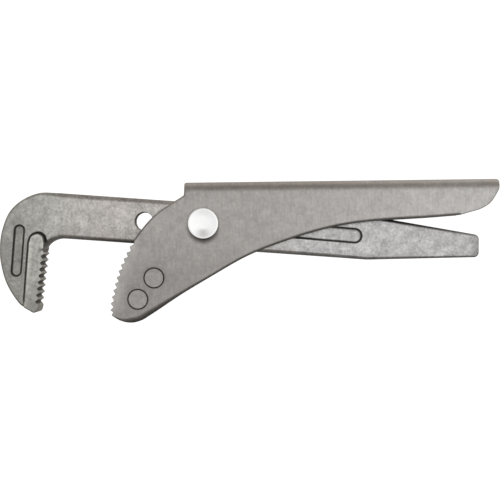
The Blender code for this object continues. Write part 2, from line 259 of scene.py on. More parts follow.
pin_joint = next(joint for joint in frame["joints"] if joint["name"] == "bar_swing")
PIN = np.array(pin_joint["pos_m"]) / MM


def node_points(node):
    """A CAD node's points in millimetres from the pin's axis."""
    mesh = frame["nodes"][node].data
    points = np.empty(len(mesh.vertices) * 3)
    mesh.vertices.foreach_get("co", points)
    return points.reshape(-1, 3) / MM - PIN * (1, 1, 0)


def turned_about_pin(points, degrees):
    """Points turned about the pin's axis, which is their origin in plan."""
    turn = math.radians(degrees)
    matrix = np.array([[math.cos(turn), math.sin(turn)], [-math.sin(turn), math.cos(turn)]])
    moved = points.copy()
    moved[..., :2] = points[..., :2] @ matrix
    return moved


channel_points = node_points("channel_handle")
insert_points = node_points("jaw_insert")
pin_points = node_points("pivot_pin")
ring_points = node_points("pin_snap_ring")
bar_points = turned_about_pin(node_points("hook_bar"), -BAR_ANGLE)

WIDTH = channel_points[:, 2].max()
MIDDLE = WIDTH / 2
HANDLE_REACH = channel_points[:, 0].max()
JAW_REACH = -channel_points[:, 0].min() - CURVE_SLACK
SPINE_RISE = channel_points[:, 1].max()
TOE_DROP = -channel_points[:, 1].min() - CURVE_SLACK
BAR_LOW = insert_points[:, 2].min()
BAR_HIGH = insert_points[:, 2].max()
BAR_HALF = (BAR_HIGH - BAR_LOW) / 2
BAR_RISE = bar_points[:, 1].max()
HOOK_REACH = -bar_points[:, 0].min() - CURVE_SLACK
HOOK_DROP = -bar_points[:, 1].min()
TAIL_REACH = bar_points[:, 0].max()
PIN_TOP = pin_points[:, 2].max()
print("Channel:", np.round([WIDTH, HANDLE_REACH, JAW_REACH, SPINE_RISE, TOE_DROP], 2))
print("Bar:", np.round([BAR_LOW, BAR_HIGH, BAR_RISE, HOOK_REACH, HOOK_DROP, TAIL_REACH], 2))

# %% [markdown]
# Every piece here but the pin and the rivets is a plate cut to an outline. The outline is drawn with a few
# kinds of line: a smooth curve through chosen points, corners rounded to a radius, and a row of teeth. Each
# of them is worked out for all of its points at once.

# %% Lines of an outline
CORNER_STEPS = 6
SMALL_ARC_STEPS = 3
LARGE_ARC_STEPS = 18
CURVE_STEPS = 12
HOLE_STEPS = 72
NEARLY_STRAIGHT = 89.5
NO_LENGTH = 1e-12


def unit(vectors):
    """Each vector divided by its own length."""
    return vectors / np.maximum(np.linalg.norm(vectors, axis=-1, keepdims=True), NO_LENGTH)


def left_of(vectors):
    """Each vector turned a quarter to the left."""
    return np.stack([-vectors[..., 1], vectors[..., 0]], axis=-1)


def smooth(knots, steps=CURVE_STEPS):
    """A centripetal curve through the knots. Each span is the cubic whose end slopes follow from the two
    knots before and after it, weighted by the square roots of the gaps, and both ends run on straight."""
    knots = np.asarray(knots, float)
    run = np.vstack([2 * knots[0] - knots[1], knots, 2 * knots[-1] - knots[-2]])
    gaps = np.linalg.norm(np.diff(run, axis=0), axis=1) ** 0.5
    spans = len(knots) - 1
    lead, span, trail = (gaps[first:first + spans, None, None] for first in range(3))
    before, start, end, after = (run[first:first + spans, None] for first in range(4))
    leaving = span * ((start - before) / lead - (end - before) / (lead + span)) + end - start
    arriving = end - start + span * ((after - end) / trail - (after - start) / (span + trail))
    t = np.arange(steps)[None, :, None] / steps
    curve = ((2 * t ** 3 - 3 * t ** 2 + 1) * start + (3 * t ** 2 - 2 * t ** 3) * end
             + (t ** 3 - 2 * t ** 2 + t) * leaving + (t ** 3 - t ** 2) * arriving)
    return np.vstack([curve.reshape(-1, 2), knots[-1:]])


def rounded(corners, radii, steps=CORNER_STEPS):
    """A line with each corner swapped for the arc that touches both sides beside it. The arc's centre lies on
    the corner's bisector, a radius over the sine of half the angle away, and no arc eats over half a side."""
    corners = np.asarray(corners, float)
    radii = np.broadcast_to(np.asarray(radii, float), len(corners))
    behind = np.roll(corners, 1, axis=0) - corners
    ahead = np.roll(corners, -1, axis=0) - corners
    shorter = np.minimum(np.linalg.norm(behind, axis=1), np.linalg.norm(ahead, axis=1))
    behind, ahead = unit(behind), unit(ahead)
    half = np.arccos(np.clip((behind * ahead).sum(axis=1), -1, 1)) / 2
    radii = np.minimum(radii, shorter / 2 * np.tan(half))
    radii = np.where(half > math.radians(NEARLY_STRAIGHT), 0, radii)[:, None]
    centres = corners + unit(behind + ahead) * radii / np.sin(half)[:, None]
    spokes = corners + behind * radii / np.tan(half)[:, None] - centres
    bend = -np.sign(behind[:, 0] * ahead[:, 1] - behind[:, 1] * ahead[:, 0]) * (math.pi - 2 * half)
    turns = bend[:, None] * np.linspace(0, 1, steps + 1)
    arcs = (centres[:, None] + spokes[:, None] * np.cos(turns)[..., None]
            + left_of(spokes)[:, None] * np.sin(turns)[..., None])
    wanted = np.ones((len(corners), steps + 1), bool)
    wanted[radii[:, 0] <= 0, 1:] = False
    return arcs[wanted]


def divided(loop, longest):
    """A closed line whose sides are cut into equal steps, none longer than asked for. Further columns
    beside x and y, such as a rim's width, are carried along."""
    ahead = np.roll(loop, -1, axis=0) - loop
    counts = np.maximum(np.ceil(np.linalg.norm(ahead[:, :2], axis=1) / longest).astype(int), 1)
    side = np.repeat(np.arange(len(loop)), counts)
    first = np.repeat(np.cumsum(counts) - counts, counts)
    share = (np.arange(len(side)) - first) / counts[side]
    return loop[side] + share[:, None] * ahead[side]


def teeth_along(line, pitch, depth):
    """Corners of teeth cut into a line's left side: a tip after each pitch, and a root between two tips that
    lies off the middle of their run by the run's length times depth over pitch."""
    lengths = np.concatenate([[0.0], np.cumsum(np.linalg.norm(np.diff(line, axis=0), axis=1))])
    stops = np.append(np.arange(0, lengths[-1], pitch), lengths[-1])
    tips = np.stack([np.interp(stops, lengths, line[:, axis]) for axis in range(2)], axis=1)
    runs = np.diff(tips, axis=0)
    teeth = np.empty((len(tips) + len(runs), 2))
    teeth[0::2] = tips
    teeth[1::2] = tips[:-1] + runs / 2 + left_of(runs) * depth / pitch
    return teeth


def hole(centre, radius, steps=HOLE_STEPS):
    """A circle that runs clockwise, so that the metal around it is on its left."""
    turns = -2 * math.pi * np.arange(steps) / steps
    return np.array(centre) + radius * np.stack([np.cos(turns), np.sin(turns)], axis=1)


square = np.array([(0, 0), (2, 0), (2, 2), (0, 2)], float)
print("Points round a 2 mm square with 1 mm corners:", len(rounded(square, 1.0)))

# %% [markdown]
# A rim lies beside its line, and marks fade with their distance from lines, so both need to know which way
# is inward and how far a place is from a line. Each is worked out for all places at once, and a ramp then
# turns a distance into a share.

# %% Distances beside lines
def inward(loop):
    """The step at each point of a loop, to its left, that moves both sides beside the point by one."""
    arriving = left_of(unit(loop - np.roll(loop, 1, axis=0)))
    leaving = left_of(unit(np.roll(loop, -1, axis=0) - loop))
    bisector = unit(arriving + leaving)
    return bisector / (bisector * leaving).sum(axis=1, keepdims=True)


def depth_inside(plan, loops, batch=500):
    """How far inside the loops each place of a plan lies: its distance to the nearest side, negative outside.
    A place is inside when a level ray from it crosses the sides an odd number of times."""
    start = np.concatenate(loops)
    along = np.concatenate([np.roll(loop, -1, axis=0) for loop in loops]) - start
    rise = np.where(along[:, 1] == 0, 1, along[:, 1])

    def depth(place):
        """The depth of some of the places, a batch that fits into memory."""
        share = np.clip(((place - start) * along).sum(axis=-1) / (along ** 2).sum(axis=-1), 0, 1)
        near = np.linalg.norm(place - start - share[..., None] * along, axis=-1).min(axis=-1)
        up = place[..., 1] - start[:, 1]
        crossed = ((up < 0) != (up < along[:, 1])) & (place[..., 0] - start[:, 0] < along[:, 0] * up / rise)
        return np.where(crossed.sum(axis=-1) % 2 == 1, near, -near)

    places = plan.reshape(-1, 1, 2)
    parts = np.array_split(places, max(1, len(places) // batch))
    return np.concatenate([depth(part) for part in parts]).reshape(plan.shape[:-1])


def steps_from(plan, start, end):
    """The step to each place from the point nearest to it on the straight line between two points. That
    point's share of the line is the place's projection on it, kept between 0 and 1."""
    along = end - start
    share = np.clip((plan - start) @ along / (along @ along), 0, 1)
    return plan - start - share[..., None] * along


def distance_to(plan, start, end):
    """How far places are from the straight line between two points."""
    return np.linalg.norm(steps_from(plan, start, end), axis=-1)


def ramp(values, start, end):
    """A share that eases from 0 at start to 1 at end: three times the square of the way between them less
    twice its cube. Where start is the larger one, the share falls as the values rise."""
    share = np.clip((values - start) / (end - start), 0, 1)
    return share * share * (3 - 2 * share)


print("A 2 mm square's middle is inside it by, in mm:", depth_inside(np.ones(2), [square]))

# %% [markdown]
# A plate's edge is never sharp. Here a rim profile, a blunted quarter of an ellipse with a flat hem beside
# it, is carried along the outline and along each hole, over the front edge, down the wall and round the
# back edge. A Bevel modifier could round the edges too, but not with a width that changes along the way,
# and it leaves long thin faces on a toothed outline.

# %% Rims
RIM_STEPS = 5
RIM_BLUNTNESS = 1.4
RIM_ROWS = RIM_STEPS + 1


def round_rim(width, depth, hem):
    """Insets and drops of a rim's rows, from the hem on the flat to the wall: the inset is the width times
    one less a power of the sine, and the drop the depth times one less that power of the cosine. A power of
    one gives a quarter of an ellipse and a power of two a straight chamfer."""
    width, depth, hem = np.broadcast_arrays(*np.atleast_1d(width, depth, hem))
    turns = np.linspace(0, math.pi / 2, RIM_STEPS)[:, None]
    insets = np.vstack([width + hem, width * (1 - np.sin(turns) ** RIM_BLUNTNESS)])
    drops = np.vstack([0 * depth, depth * (1 - np.abs(np.cos(turns)) ** RIM_BLUNTNESS)])
    return insets, drops


def band_faces(rows, columns, start=0):
    """Four-sided faces between the rows of a grid of points whose columns close up to a ring."""
    index = start + np.arange(rows * columns).reshape(rows, columns)
    inner, outer = index[:-1], index[1:]
    corners = (inner, outer, np.roll(outer, -1, axis=1), np.roll(inner, -1, axis=1))
    return np.stack(corners, axis=-1).reshape(-1, 4)


print("Drops of a 1 mm rim, row by row:", round_rim(1.0, 1.0, 0.5)[1][:, 0].round(2))

# %% [markdown]
# The flats between the rims are covered with triangles that run through a lattice of points, so that a flat
# may also rise and fall, as a forging's faces do. Both faces of each plate here are alike, so one function of
# the plan says all: half of the plate's thickness.

# %% Closed plates
WALL_SHARES = (0.1, 0.25, 0.4, 0.5, 0.6, 0.75, 0.9)
LOOP_ROWS = 2 * RIM_ROWS + len(WALL_SHARES)
INSIDE_ONLY = 1
MERGE_DISTANCE = 1e-7


def cover(loops, lattice, clearances):
    """Triangles over the flat between loops, through the lattice points that keep their clearance from them.
    Gives those points, and the triangles as places in the loops' points followed by them, anticlockwise."""
    kept = lattice[depth_inside(lattice, loops) > clearances]
    points = np.vstack(loops + [kept])
    ends = np.cumsum([len(loop) for loop in loops])
    sides = [np.stack([np.arange(end - len(loop), end), np.roll(np.arange(end - len(loop), end), -1)], axis=1)
             for end, loop in zip(ends, loops)]
    places = [Vector(point) for point in points.tolist()]
    found, _, triangles, origins, _, _ = delaunay_2d_cdt(
        places, np.vstack(sides).tolist(), [], INSIDE_ONLY, MERGE_DISTANCE)
    if len(found) != len(points):
        crossings = [tuple(round(value, 2) for value in place)
                     for place, whence in zip(found, origins) if not whence]
        raise ValueError(f"the outline crosses itself near {crossings}")
    triangles = np.array(triangles)
    if len(loops) > 1:
        triangles = triangles[depth_inside(points[triangles].mean(axis=1), loops[1:]) < 0]
    return kept, triangles


def plate_shell(loops, fronts, backs, half, lattice, clearances):
    """A closed plate. Each loop, with the metal on its left, carries its front rim, its wall and its back
    rim, and both flats are covered. They lie half of the thickness above and below the plan, and half is a
    function that gives it for any places."""
    grids, faces, top, bottom = [], [], [], []
    count = 0
    for loop, (insets, drops), (back_insets, back_drops) in zip(loops, fronts, backs):
        step = inward(loop)
        above = loop + step * insets[..., None]
        below = (loop + step * back_insets[..., None])[::-1]
        high = half(above) - drops
        low = back_drops[::-1] - half(below)
        shares = np.array(WALL_SHARES)[:, None]
        wall = high[-1] * (1 - shares) + low[0] * shares
        plan = np.concatenate([above, np.repeat(loop[None], len(shares), axis=0), below])
        grid = np.dstack([plan, np.vstack([high, wall, low])])
        rows, columns = grid.shape[:2]
        grids.append(grid.reshape(-1, 3))
        faces += band_faces(rows, columns, count).tolist()
        top.append((above[0], count + np.arange(columns)))
        bottom.append((below[-1], count + (rows - 1) * columns + np.arange(columns)))
        count += rows * columns
    for edge, facing in ((top, 1), (bottom, -1)):
        kept, triangles = cover([ring for ring, _ in edge], lattice, clearances)
        grids.append(np.column_stack([kept, facing * half(kept)]))
        numbers = np.concatenate([index for _, index in edge] + [count + np.arange(len(kept))])
        faces += numbers[triangles][:, ::facing].tolist()
        count += len(kept)
    return np.vstack(grids), faces


def level(half):
    """The same half thickness all over a plan."""
    return lambda plan: np.full(plan.shape[:-1], half)


def grid_of(low, high, pitch):
    """Points of a level lattice between two corners, every second row set off by half a step."""
    across = np.arange(low[0], high[0], pitch)
    up = np.arange(low[1], high[1], pitch)
    x, y = np.meshgrid(across, up)
    return np.stack([x + pitch / 2 * (np.arange(len(up)) % 2)[:, None], y], axis=-1).reshape(-1, 2)


# %% [markdown]
# Round pieces are turned: a profile of radius and height is carried round the axis. Its first and last points
# lie on the axis, and are closed with fans so that no hole is left at the poles.

# %% Turned pieces
TURN_STEPS = 96


def turned(profile, steps=TURN_STEPS):
    """A solid of revolution: each (radius, height) of the profile goes round the axis, and the two ends on
    the axis are one point each."""
    profile = np.asarray(profile, float)
    turns = 2 * math.pi * np.arange(steps) / steps
    radii, heights = profile[1:-1, 0, None], profile[1:-1, 1, None]
    grid = np.stack([radii * np.cos(turns), radii * np.sin(turns), heights + 0 * turns], axis=-1)
    rows = len(profile) - 2
    points = np.vstack([grid.reshape(-1, 3), [(0, 0, profile[0, 1]), (0, 0, profile[-1, 1])]])
    ring = np.arange(steps)
    after = np.roll(ring, -1)
    last = (rows - 1) * steps
    low_fan = np.stack([np.full(steps, rows * steps), after, ring], axis=1)
    high_fan = np.stack([np.full(steps, rows * steps + 1), last + ring, last + after], axis=1)
    return points, band_faces(rows, steps)[:, ::-1].tolist() + low_fan.tolist() + high_fan.tolist()


# %% [markdown]
# All six finishes are steel, so they share one recipe and differ in its numbers. The tone is mottled by
# four noises: clouds some millimetres wide, spots of about a millimetre, grain well under that, and marks
# drawn out along one axis by a belt or a lathe. Spots and grain also lift the surface a little, so that
# light breaks up where the eye expects it. Noise is read in millimetres on Object coordinates, which never
# slide on a piece. The same coordinates lead from tint to tint along the tool, because the steel's faint
# warmth turns neutral towards the handle's end. Dark residue with painted shade, and bright wear with
# painted highlights, come from the numbers that each point of a mesh carries.

# %% One recipe for the steels
RESIDUE_AND_SHADE_COLOUR = (0.03, 0.026, 0.022, 1.0)
DARK_MARK_METAL = 0.55
DARK_MARK_ROUGHNESS = 0.6
NOISE_ROUGHNESS = 0.55
GRAIN_PER_MM = 2.6
SPOTS_PER_MM = 0.85
CLOUDS_PER_MM = 0.25
LINES_PER_MM = 1.2
GRAIN_GLOSS = 0.12
EVENLY = (1.0, 1.0, 1.0)


def noise(place, per_mm, detail, seed, stretch=EVENLY):
    """Noise around zero, from -0.5 to 0.5. The stretch is how many times finer it is along each axis."""
    factors = tuple(per_mm * factor / MM for factor in stretch)
    values = {"Vector": place.scaled(factors), "W": seed, "Scale": 1.0, "Detail": detail,
              "Roughness": NOISE_ROUGHNESS}
    return place.make("ShaderNodeTexNoise", {"noise_dimensions": "4D"}, values) - 0.5


def mark(wires, name):
    """A number that the mesh carries at its points."""
    return wires.make("ShaderNodeAttribute", {"attribute_name": name}, output=2)


def along_tool(place, tints):
    """The tint at a place, which eases from each tint to the next between their places along the tool."""
    tint = tints[0][1]
    for (start, _), (end, colour) in zip(tints, tints[1:]):
        tint = place.axis(0).ease(start * MM, end * MM).blend(tint, colour)
    return tint if len(tints) > 1 else tint[:3]


def steel(name, tints, roughness, clouds, spots, grain, lines, line_stretch, lift, extra=None):
    """One steel. Its tints are colours at places along the tool, in millimetres. Clouds, spots, grain and
    lines each say how strongly that noise changes the tone, and the lift is the noise's height in
    millimetres. The metal is the tint times one more than the sum of the noises, and the dark mark, residue
    and painted shade, covers its share of it."""
    material = bpy.data.materials.new(name)
    wires, shader = shader_of(material)
    place = wires.make("ShaderNodeTexCoord", output=3)
    fine = noise(place, GRAIN_PER_MM, detail=3.0, seed=1.0)
    spot = noise(place, SPOTS_PER_MM, detail=2.0, seed=4.0)
    cloud = noise(place, CLOUDS_PER_MM, detail=3.0, seed=2.0)
    drawn = noise(place, LINES_PER_MM, detail=2.0, seed=3.0, stretch=line_stretch)
    shade = fine * grain + spot * spots + cloud * clouds + drawn * lines + 1.0
    height = fine + spot
    if extra:
        shade, height = extra(place, shade, height)
    # The dark mark is residue in places and painted shade in others, and the bright one is wear in places and
    # a painted highlight in others.
    dirt_and_shade = mark(wires, "residue")
    tint, light = along_tool(place, tints), shade + mark(wires, "worn")
    clean = wires.make("ShaderNodeVectorMath", {"operation": "SCALE"}, {0: tint, 3: light})
    bump = wires.make("ShaderNodeBump", {}, {"Strength": 1.0, "Distance": lift * MM, "Height": height})
    looks = {"Base Color": dirt_and_shade.blend(clean, RESIDUE_AND_SHADE_COLOUR),
             "Roughness": fine * GRAIN_GLOSS + roughness + dirt_and_shade * (DARK_MARK_ROUGHNESS - roughness),
             "Metallic": 1 - dirt_and_shade * (1 - DARK_MARK_METAL),
             "Normal": bump}
    for socket, wire in looks.items():
        wires.tree.links.new(wire.socket, shader.inputs[socket])
    return material


# %% [markdown]
# Each finish then has a row of numbers. The sheet and the rivets carry faint streaks across the tool, because
# they were ground flush together, and the insert's streaks run along it. The pin is bright and nearly even,
# and the forging alone has dark specks of scale and lighter patches on top.

# %% The six steels
PRESSED_TINTS = [(-12, grey(0.445, 0.038)), (112, grey(0.56, 0.02))]
MILLED_TINTS = [(0, grey(0.42, 0.03))]
RIVET_TINTS = [(0, grey(0.4, 0.04))]
FORGED_TINTS = [(-100, (0.6, 0.6, 0.565, 1.0)), (-70, grey(0.6, 0.04)), (0, grey(0.6, 0.02)),
                (50, grey(0.63)), (100, grey(0.58))]
BRIGHT_TINTS = [(0, grey(0.99))]
SPRING_TINTS = [(0, grey(0.3))]
SPECK_LIMITS = (0.1, 0.24)
SPECK_DARKNESS = 0.3
SPECK_DEPTH = 0.5
PATCHES_PER_MM = 0.3
PATCH_STRETCH = (1.0, 1.6, 1.0)
PATCH_LIMITS = (0.04, 0.2)
PATCH_LIGHTNESS = 0.16


def specks(place, shade, height):
    """Dark specks of scale and lighter patches on a forging, where a noise goes beyond a limit."""
    spot = noise(place, SPOTS_PER_MM, detail=2.0, seed=7.0)
    patch = noise(place, PATCHES_PER_MM, detail=2.0, seed=8.0, stretch=PATCH_STRETCH)
    shade = shade - spot.ease(*SPECK_LIMITS, 0.0, SPECK_DARKNESS)
    return shade + patch.ease(*PATCH_LIMITS, 0.0, PATCH_LIGHTNESS), height - spot * SPECK_DEPTH


# Each row gives tints, roughness, clouds, spots, grain, lines, how finely the lines run, and lift.
RECIPES = {
    "pressed_steel": (PRESSED_TINTS, 0.42, 0.45, 0.5, 0.28, 0.35, (1, 0.15, 1), 0.012),
    "milled_steel": (MILLED_TINTS, 0.42, 0.2, 0.4, 0.4, 0.6, (0.1, 1, 1), 0.01),
    "rivet_steel": (RIVET_TINTS, 0.42, 0.4, 0.65, 0.4, 0.2, (1, 0.2, 1), 0.012),
    "forged_steel": (FORGED_TINTS, 0.44, 1.0, 1.0, 0.7, 0.0, EVENLY, 0.02, specks),
    "bright_steel": (BRIGHT_TINTS, 0.25, 0.03, 0.05, 0.05, 0.05, (1, 0.2, 1), 0.002),
    "spring_steel": (SPRING_TINTS, 0.3, 0.05, 0.1, 0.2, 0.0, EVENLY, 0.004),
}
STEELS = {name: steel(name, *recipe) for name, recipe in RECIPES.items()}
print("Steels:", *STEELS)

# %% [markdown]
# A finished piece stands for a CAD node. Its object stays at the origin, its place is in its mesh, and it
# rides on the body that the node rides on. Two numbers are worked out for each point and go along as
# attributes, which the steels read: how much dark residue and painted shade sits there, and how much wear
# and painted highlight has brightened it. They are plain functions of distances, so the dark lies at the
# foot of walls and in gullets, where residue gathers and shade falls.

# %% Put a piece into the scene
SHARP_ANGLE = 40.0


def between(distance, low, high, fade):
    """A share that is 1 from low to high and eases to 0 within the fade on both sides."""
    return ramp(distance, low - fade, low) * (1 - ramp(distance, high, high + fade))


def on_loop(points, values):
    """A mark on a plate's first loop, given for each of its rows and columns, and zero elsewhere."""
    marks = np.zeros(len(points))
    marks[:values.size] = values.ravel()
    return marks


def strongest(*layers):
    """The largest of several marks at each point, because one dark mark over another looks no darker."""
    return np.max(np.broadcast_arrays(*layers), axis=0)


def make_piece(name, node, slot, points, faces, **marks):
    """A mesh piece in place of a CAD node, with its steel. Points are in millimetres in the frame."""
    mesh = bpy.data.meshes.new(name)
    mesh.from_pydata((points * MM).tolist(), [], faces)
    for mark, values in marks.items():
        mesh.attributes.new(mark, "FLOAT", "POINT").data.foreach_set("value", np.clip(values, 0, 1))
    mesh.shade_smooth()
    mesh.set_sharp_from_angle(angle=math.radians(SHARP_ANGLE))
    piece = bpy.data.objects.new(name, mesh)
    bpy.context.collection.objects.link(piece)
    form = bmesh.new()
    form.from_mesh(mesh)
    volume = form.calc_volume(signed=True) / MM ** 3
    open_edges = sum(not edge.is_manifold for edge in form.edges)
    form.free()
    print(f"{name}: {len(mesh.polygons)} faces, {open_edges} open edges, {volume:.0f} cubic mm")
    body = frame["nodes"][node]["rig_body"]
    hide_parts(node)
    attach(piece, body)
    piece.data.materials.append(STEELS[slot])
    return piece


# %% [markdown]
# The channel is one pressing: it was blanked flat from 2.5 mm sheet, toothed, drilled and folded along two
# lines. It is made the same way here. The blank is a plate in the plane of x, along the tool, and girth, the
# way round the section from the middle of the spine. A formula then folds it.

# %% The channel's section
PLATE = 2.5
BEND_RADIUS = 5.5
SPINE_HALF = MIDDLE - BEND_RADIUS
BEND_START = SPINE_RISE - BEND_RADIUS
CHEEK_GIRTH = SPINE_HALF + BEND_RADIUS * math.pi / 2


def girth(height):
    """The way round the section from the spine's middle to a height on the cheek or the bend beside it."""
    lean = np.arcsin(np.clip((height - BEND_START) / BEND_RADIUS, 0, 1))
    return CHEEK_GIRTH - BEND_RADIUS * lean + np.maximum(BEND_START - height, 0)


def fold(points):
    """Folds the blank. Beyond the flat half of the spine a place goes round the bend by its girth over the
    outer radius, and what is left of its girth then runs straight down the cheek. The front cheek has
    negative girth. A point's height is counted from the middle of the sheet."""
    x, way, height = points.T
    round_bend = np.clip((np.abs(way) - SPINE_HALF) / BEND_RADIUS, 0, math.pi / 2)
    radius = BEND_RADIUS - PLATE / 2 + height
    rest = np.maximum(np.abs(way) - CHEEK_GIRTH, 0)
    out = np.minimum(np.abs(way), SPINE_HALF) + radius * np.sin(round_bend)
    y = BEND_START + radius * np.cos(round_bend) - rest
    return np.stack([x + PIN[0], y + PIN[1], MIDDLE - np.sign(way) * out], axis=1)


low_girth = girth(-TOE_DROP)
print("Width of the flat blank in mm:", round(2 * float(low_girth), 1))

# %% [markdown]
# Seen from the side, a cheek has a brow that sweeps down from the spine, a row of teeth, a toe with a wide
# ground rim, one long lower edge and a nose at the handle's end. Its points are written as shares of the
# tool's reach to each side of the pin, so they follow the frame's sizes, and smooth curves join them.

# %% A cheek's side view
SPINE_FRONT = 8.6
BROW_FILLET = 2.4
END_CORNER = 0.9
CHEEK_TOOTH_PITCH = 3.07
CHEEK_TOOTH_DEPTH = 1.4
CHEEK_TIP_RADIUS = 0.22
CHEEK_ROOT_RADIUS = 0.15
TOE_TIP_RADIUS = 0.5
TOE_TIP_STEPS = 4
EDGE_WIDTH = 0.7
NOSE_EDGE_WIDTH = 0.35
TOOTH_EDGE_WIDTH = 0.12
TOE_EDGE_REACH = (-42.2, -41.4, -40.0, -37.5, -34.0, -26.0, -10.0, 4.0, 30.0)
TOE_EDGE_WIDTHS = (0.12, 0.3, 0.85, 1.4, 2.7, 2.9, 1.4, 1.05, 1.05)

BROW_CORNER_SHARES = (-0.2077, 0.673)
BROW_SHARES = [(-0.3006, 0.5445), (-0.4187, 0.377), (-0.538, 0.17), (-0.651, -0.0455), (-0.7455, -0.1663)]
FIRST_GULLET_SHARES = (-0.7384, -0.2007)
JAW_LINE_SHARES = [(-0.785, -0.226), (-0.8826, -0.408), (-0.9486, -0.604), (-0.9967, -0.8027),
                   (-1.0, -0.8714), (-0.9895, -0.9213)]
LOWER_EDGE_SHARES = [(-0.9895, -0.9213), (-0.894, -0.977), (-0.7863, -1.0), (-0.6788, -0.98),
                     (-0.5723, -0.922), (-0.2509, -0.723), (0.0224, -0.543), (0.1237, -0.3705),
                     (0.171, -0.3038), (0.2241, -0.2417), (0.2873, -0.1763), (0.3584, -0.1098),
                     (0.4294, -0.0565), (0.4936, -0.0222), (0.551, -0.0018), (0.6279, 0.0366),
                     (0.7567, 0.0806), (0.8652, 0.1315)]
NOSE_SHARES = [(0.8652, 0.1315), (0.8995, 0.199), (0.934, 0.2717), (0.9659, 0.4094), (0.9883, 0.6325),
               (0.9975, 0.773), (1.0, 0.927)]


def around_pin(shares, left, right, up, down):
    """Places around the pin's axis: each share is of the reach on its own side of the axis."""
    shares = np.atleast_2d(shares)
    return shares * np.where(shares > 0, (right, up), (left, down))


def on_cheek(shares):
    """Places on the cheek, from shares of its reach to the jaw, the handle's end, the spine and the toe."""
    return around_pin(shares, JAW_REACH, HANDLE_REACH, SPINE_RISE, TOE_DROP)


def cheek_side():
    """One cheek's side view from the spine's front down round the jaw and back up to the spine's end, as x, y
    and the rim's width. The rim is ground wide along the toe and stays sharp on the teeth."""
    end = (HANDLE_REACH, SPINE_RISE)
    brow = smooth(on_cheek(BROW_SHARES))
    lower = smooth(on_cheek(LOWER_EDGE_SHARES))[TOE_TIP_STEPS:]
    nose = smooth(on_cheek(NOSE_SHARES))
    jaw = teeth_along(smooth(on_cheek(JAW_LINE_SHARES)), CHEEK_TOOTH_PITCH, CHEEK_TOOTH_DEPTH)
    radii = np.where(np.arange(len(jaw)) % 2 == 0, CHEEK_TIP_RADIUS, CHEEK_ROOT_RADIUS)
    radii[-1] = TOE_TIP_RADIUS
    front = rounded(np.vstack([brow[-1], (-SPINE_FRONT, BEND_START), on_cheek(BROW_CORNER_SHARES), brow[0]]),
                    [0, 0, BROW_FILLET, 0])[2:-1]
    teeth = rounded(np.vstack([brow[-1], on_cheek(FIRST_GULLET_SHARES), jaw, lower[0]]),
                    [0, CHEEK_ROOT_RADIUS, *radii, 0], SMALL_ARC_STEPS)[1:-1]
    corner = rounded([nose[-1], end, (-SPINE_FRONT, SPINE_RISE)], [0, END_CORNER, 0])[1:-1]
    toe_widths = np.interp(lower[:, 0], TOE_EDGE_REACH, TOE_EDGE_WIDTHS)
    runs = [(front, EDGE_WIDTH), (brow, EDGE_WIDTH), (teeth, TOOTH_EDGE_WIDTH), (lower, toe_widths),
            (nose[1:], NOSE_EDGE_WIDTH), (corner, NOSE_EDGE_WIDTH)]
    return np.vstack([np.column_stack([points, np.broadcast_to(width, len(points))])
                      for points, width in runs])


side = cheek_side()
print("Points of a cheek's side view:", len(side))

# %% [markdown]
# Unrolled, the two cheeks and the spine between them are one closed outline. The two bends get the same
# rows of points on the outline and between, so that they fold evenly.

# %% The channel's flat blank
BEND_STEPS = 14
BEND_MARGIN = 0.05
BLANK_STEP = 0.7


def blank_outline(side):
    """The blank's outline: a cheek's side view unrolled over its bend, the spine's end, the other cheek and
    the spine's front. Also the girths of the rows of points in a bend."""
    lean = np.linspace(0, math.pi / 2, BEND_STEPS + 1)
    bend_rows = SPINE_HALF + BEND_RADIUS * lean
    heights = BEND_START + BEND_RADIUS * np.cos(lean)
    nose = side[len(side) // 2:]
    end_x = np.interp(heights, nose[:, 1], nose[:, 0])
    end = np.column_stack([end_x, -bend_rows, 0 * lean + NOSE_EDGE_WIDTH])
    front = np.column_stack([0 * lean - SPINE_FRONT, -bend_rows, 0 * lean + EDGE_WIDTH])
    flat = side[side[:, 1] < BEND_START - BEND_MARGIN]
    cheek = np.column_stack([flat[:, 0], -girth(flat[:, 1]), flat[:, 2]])
    half = np.vstack([front, cheek, end[::-1]])
    return np.vstack([half, half[::-1] * (1, -1, 1)]), bend_rows


blank, bend_rows = blank_outline(side)
blank = divided(blank, BLANK_STEP)
outline, rim_width = blank[:, :2], blank[:, 2]
print("Points round the blank:", len(blank))

# %% [markdown]
# The sheet's holes differ from side to side: the pin's is plain in front and has the snap ring's seat behind,
# and the rivets' are countersunk outside and plain inside. Each kind is a rim too, a list of insets from the
# hole's loop and drops from the face.

# %% Holes in the sheet
HOLE_RADIUS = 4.2
RING_SEAT_RADIUS = 5.6
RING_SEAT_DEPTH = 1.9
RIVET_HEAD_RADIUS = 4.4
RIVET_SHANK_RADIUS = 3.0
RIVET_SINK = 1.6
RIVET_RIM = 0.3
RIVET_SLIT = 0.28
RIVET_SHARES = {"rivet_upper": (-0.5319, -0.5466), "rivet_lower": (-0.706, -0.7614)}
SMALL_EDGE = 0.12
SMALL_HEM = 0.25
MIDWAY_ROUND = 0.3


def seat_rim(mouth, depth, edge, hem):
    """The rows of a seat that its kinds share: the hem, a mouth rounded over three rows, and the wall's
    end. The middle row is off both sides of the corner by 0.3 of the edge, as on a quarter circle."""
    insets = [mouth + edge + hem, mouth + edge, mouth + edge * MIDWAY_ROUND, mouth, mouth]
    drops = [0.0, 0.0, edge * MIDWAY_ROUND, edge, depth]
    return insets, drops


def as_rows(insets, drops, bore):
    """A profile's insets, counted from the axis, made into rows of insets from the bore's loop."""
    return np.array(insets)[:, None] - bore, np.array(drops)[:, None]


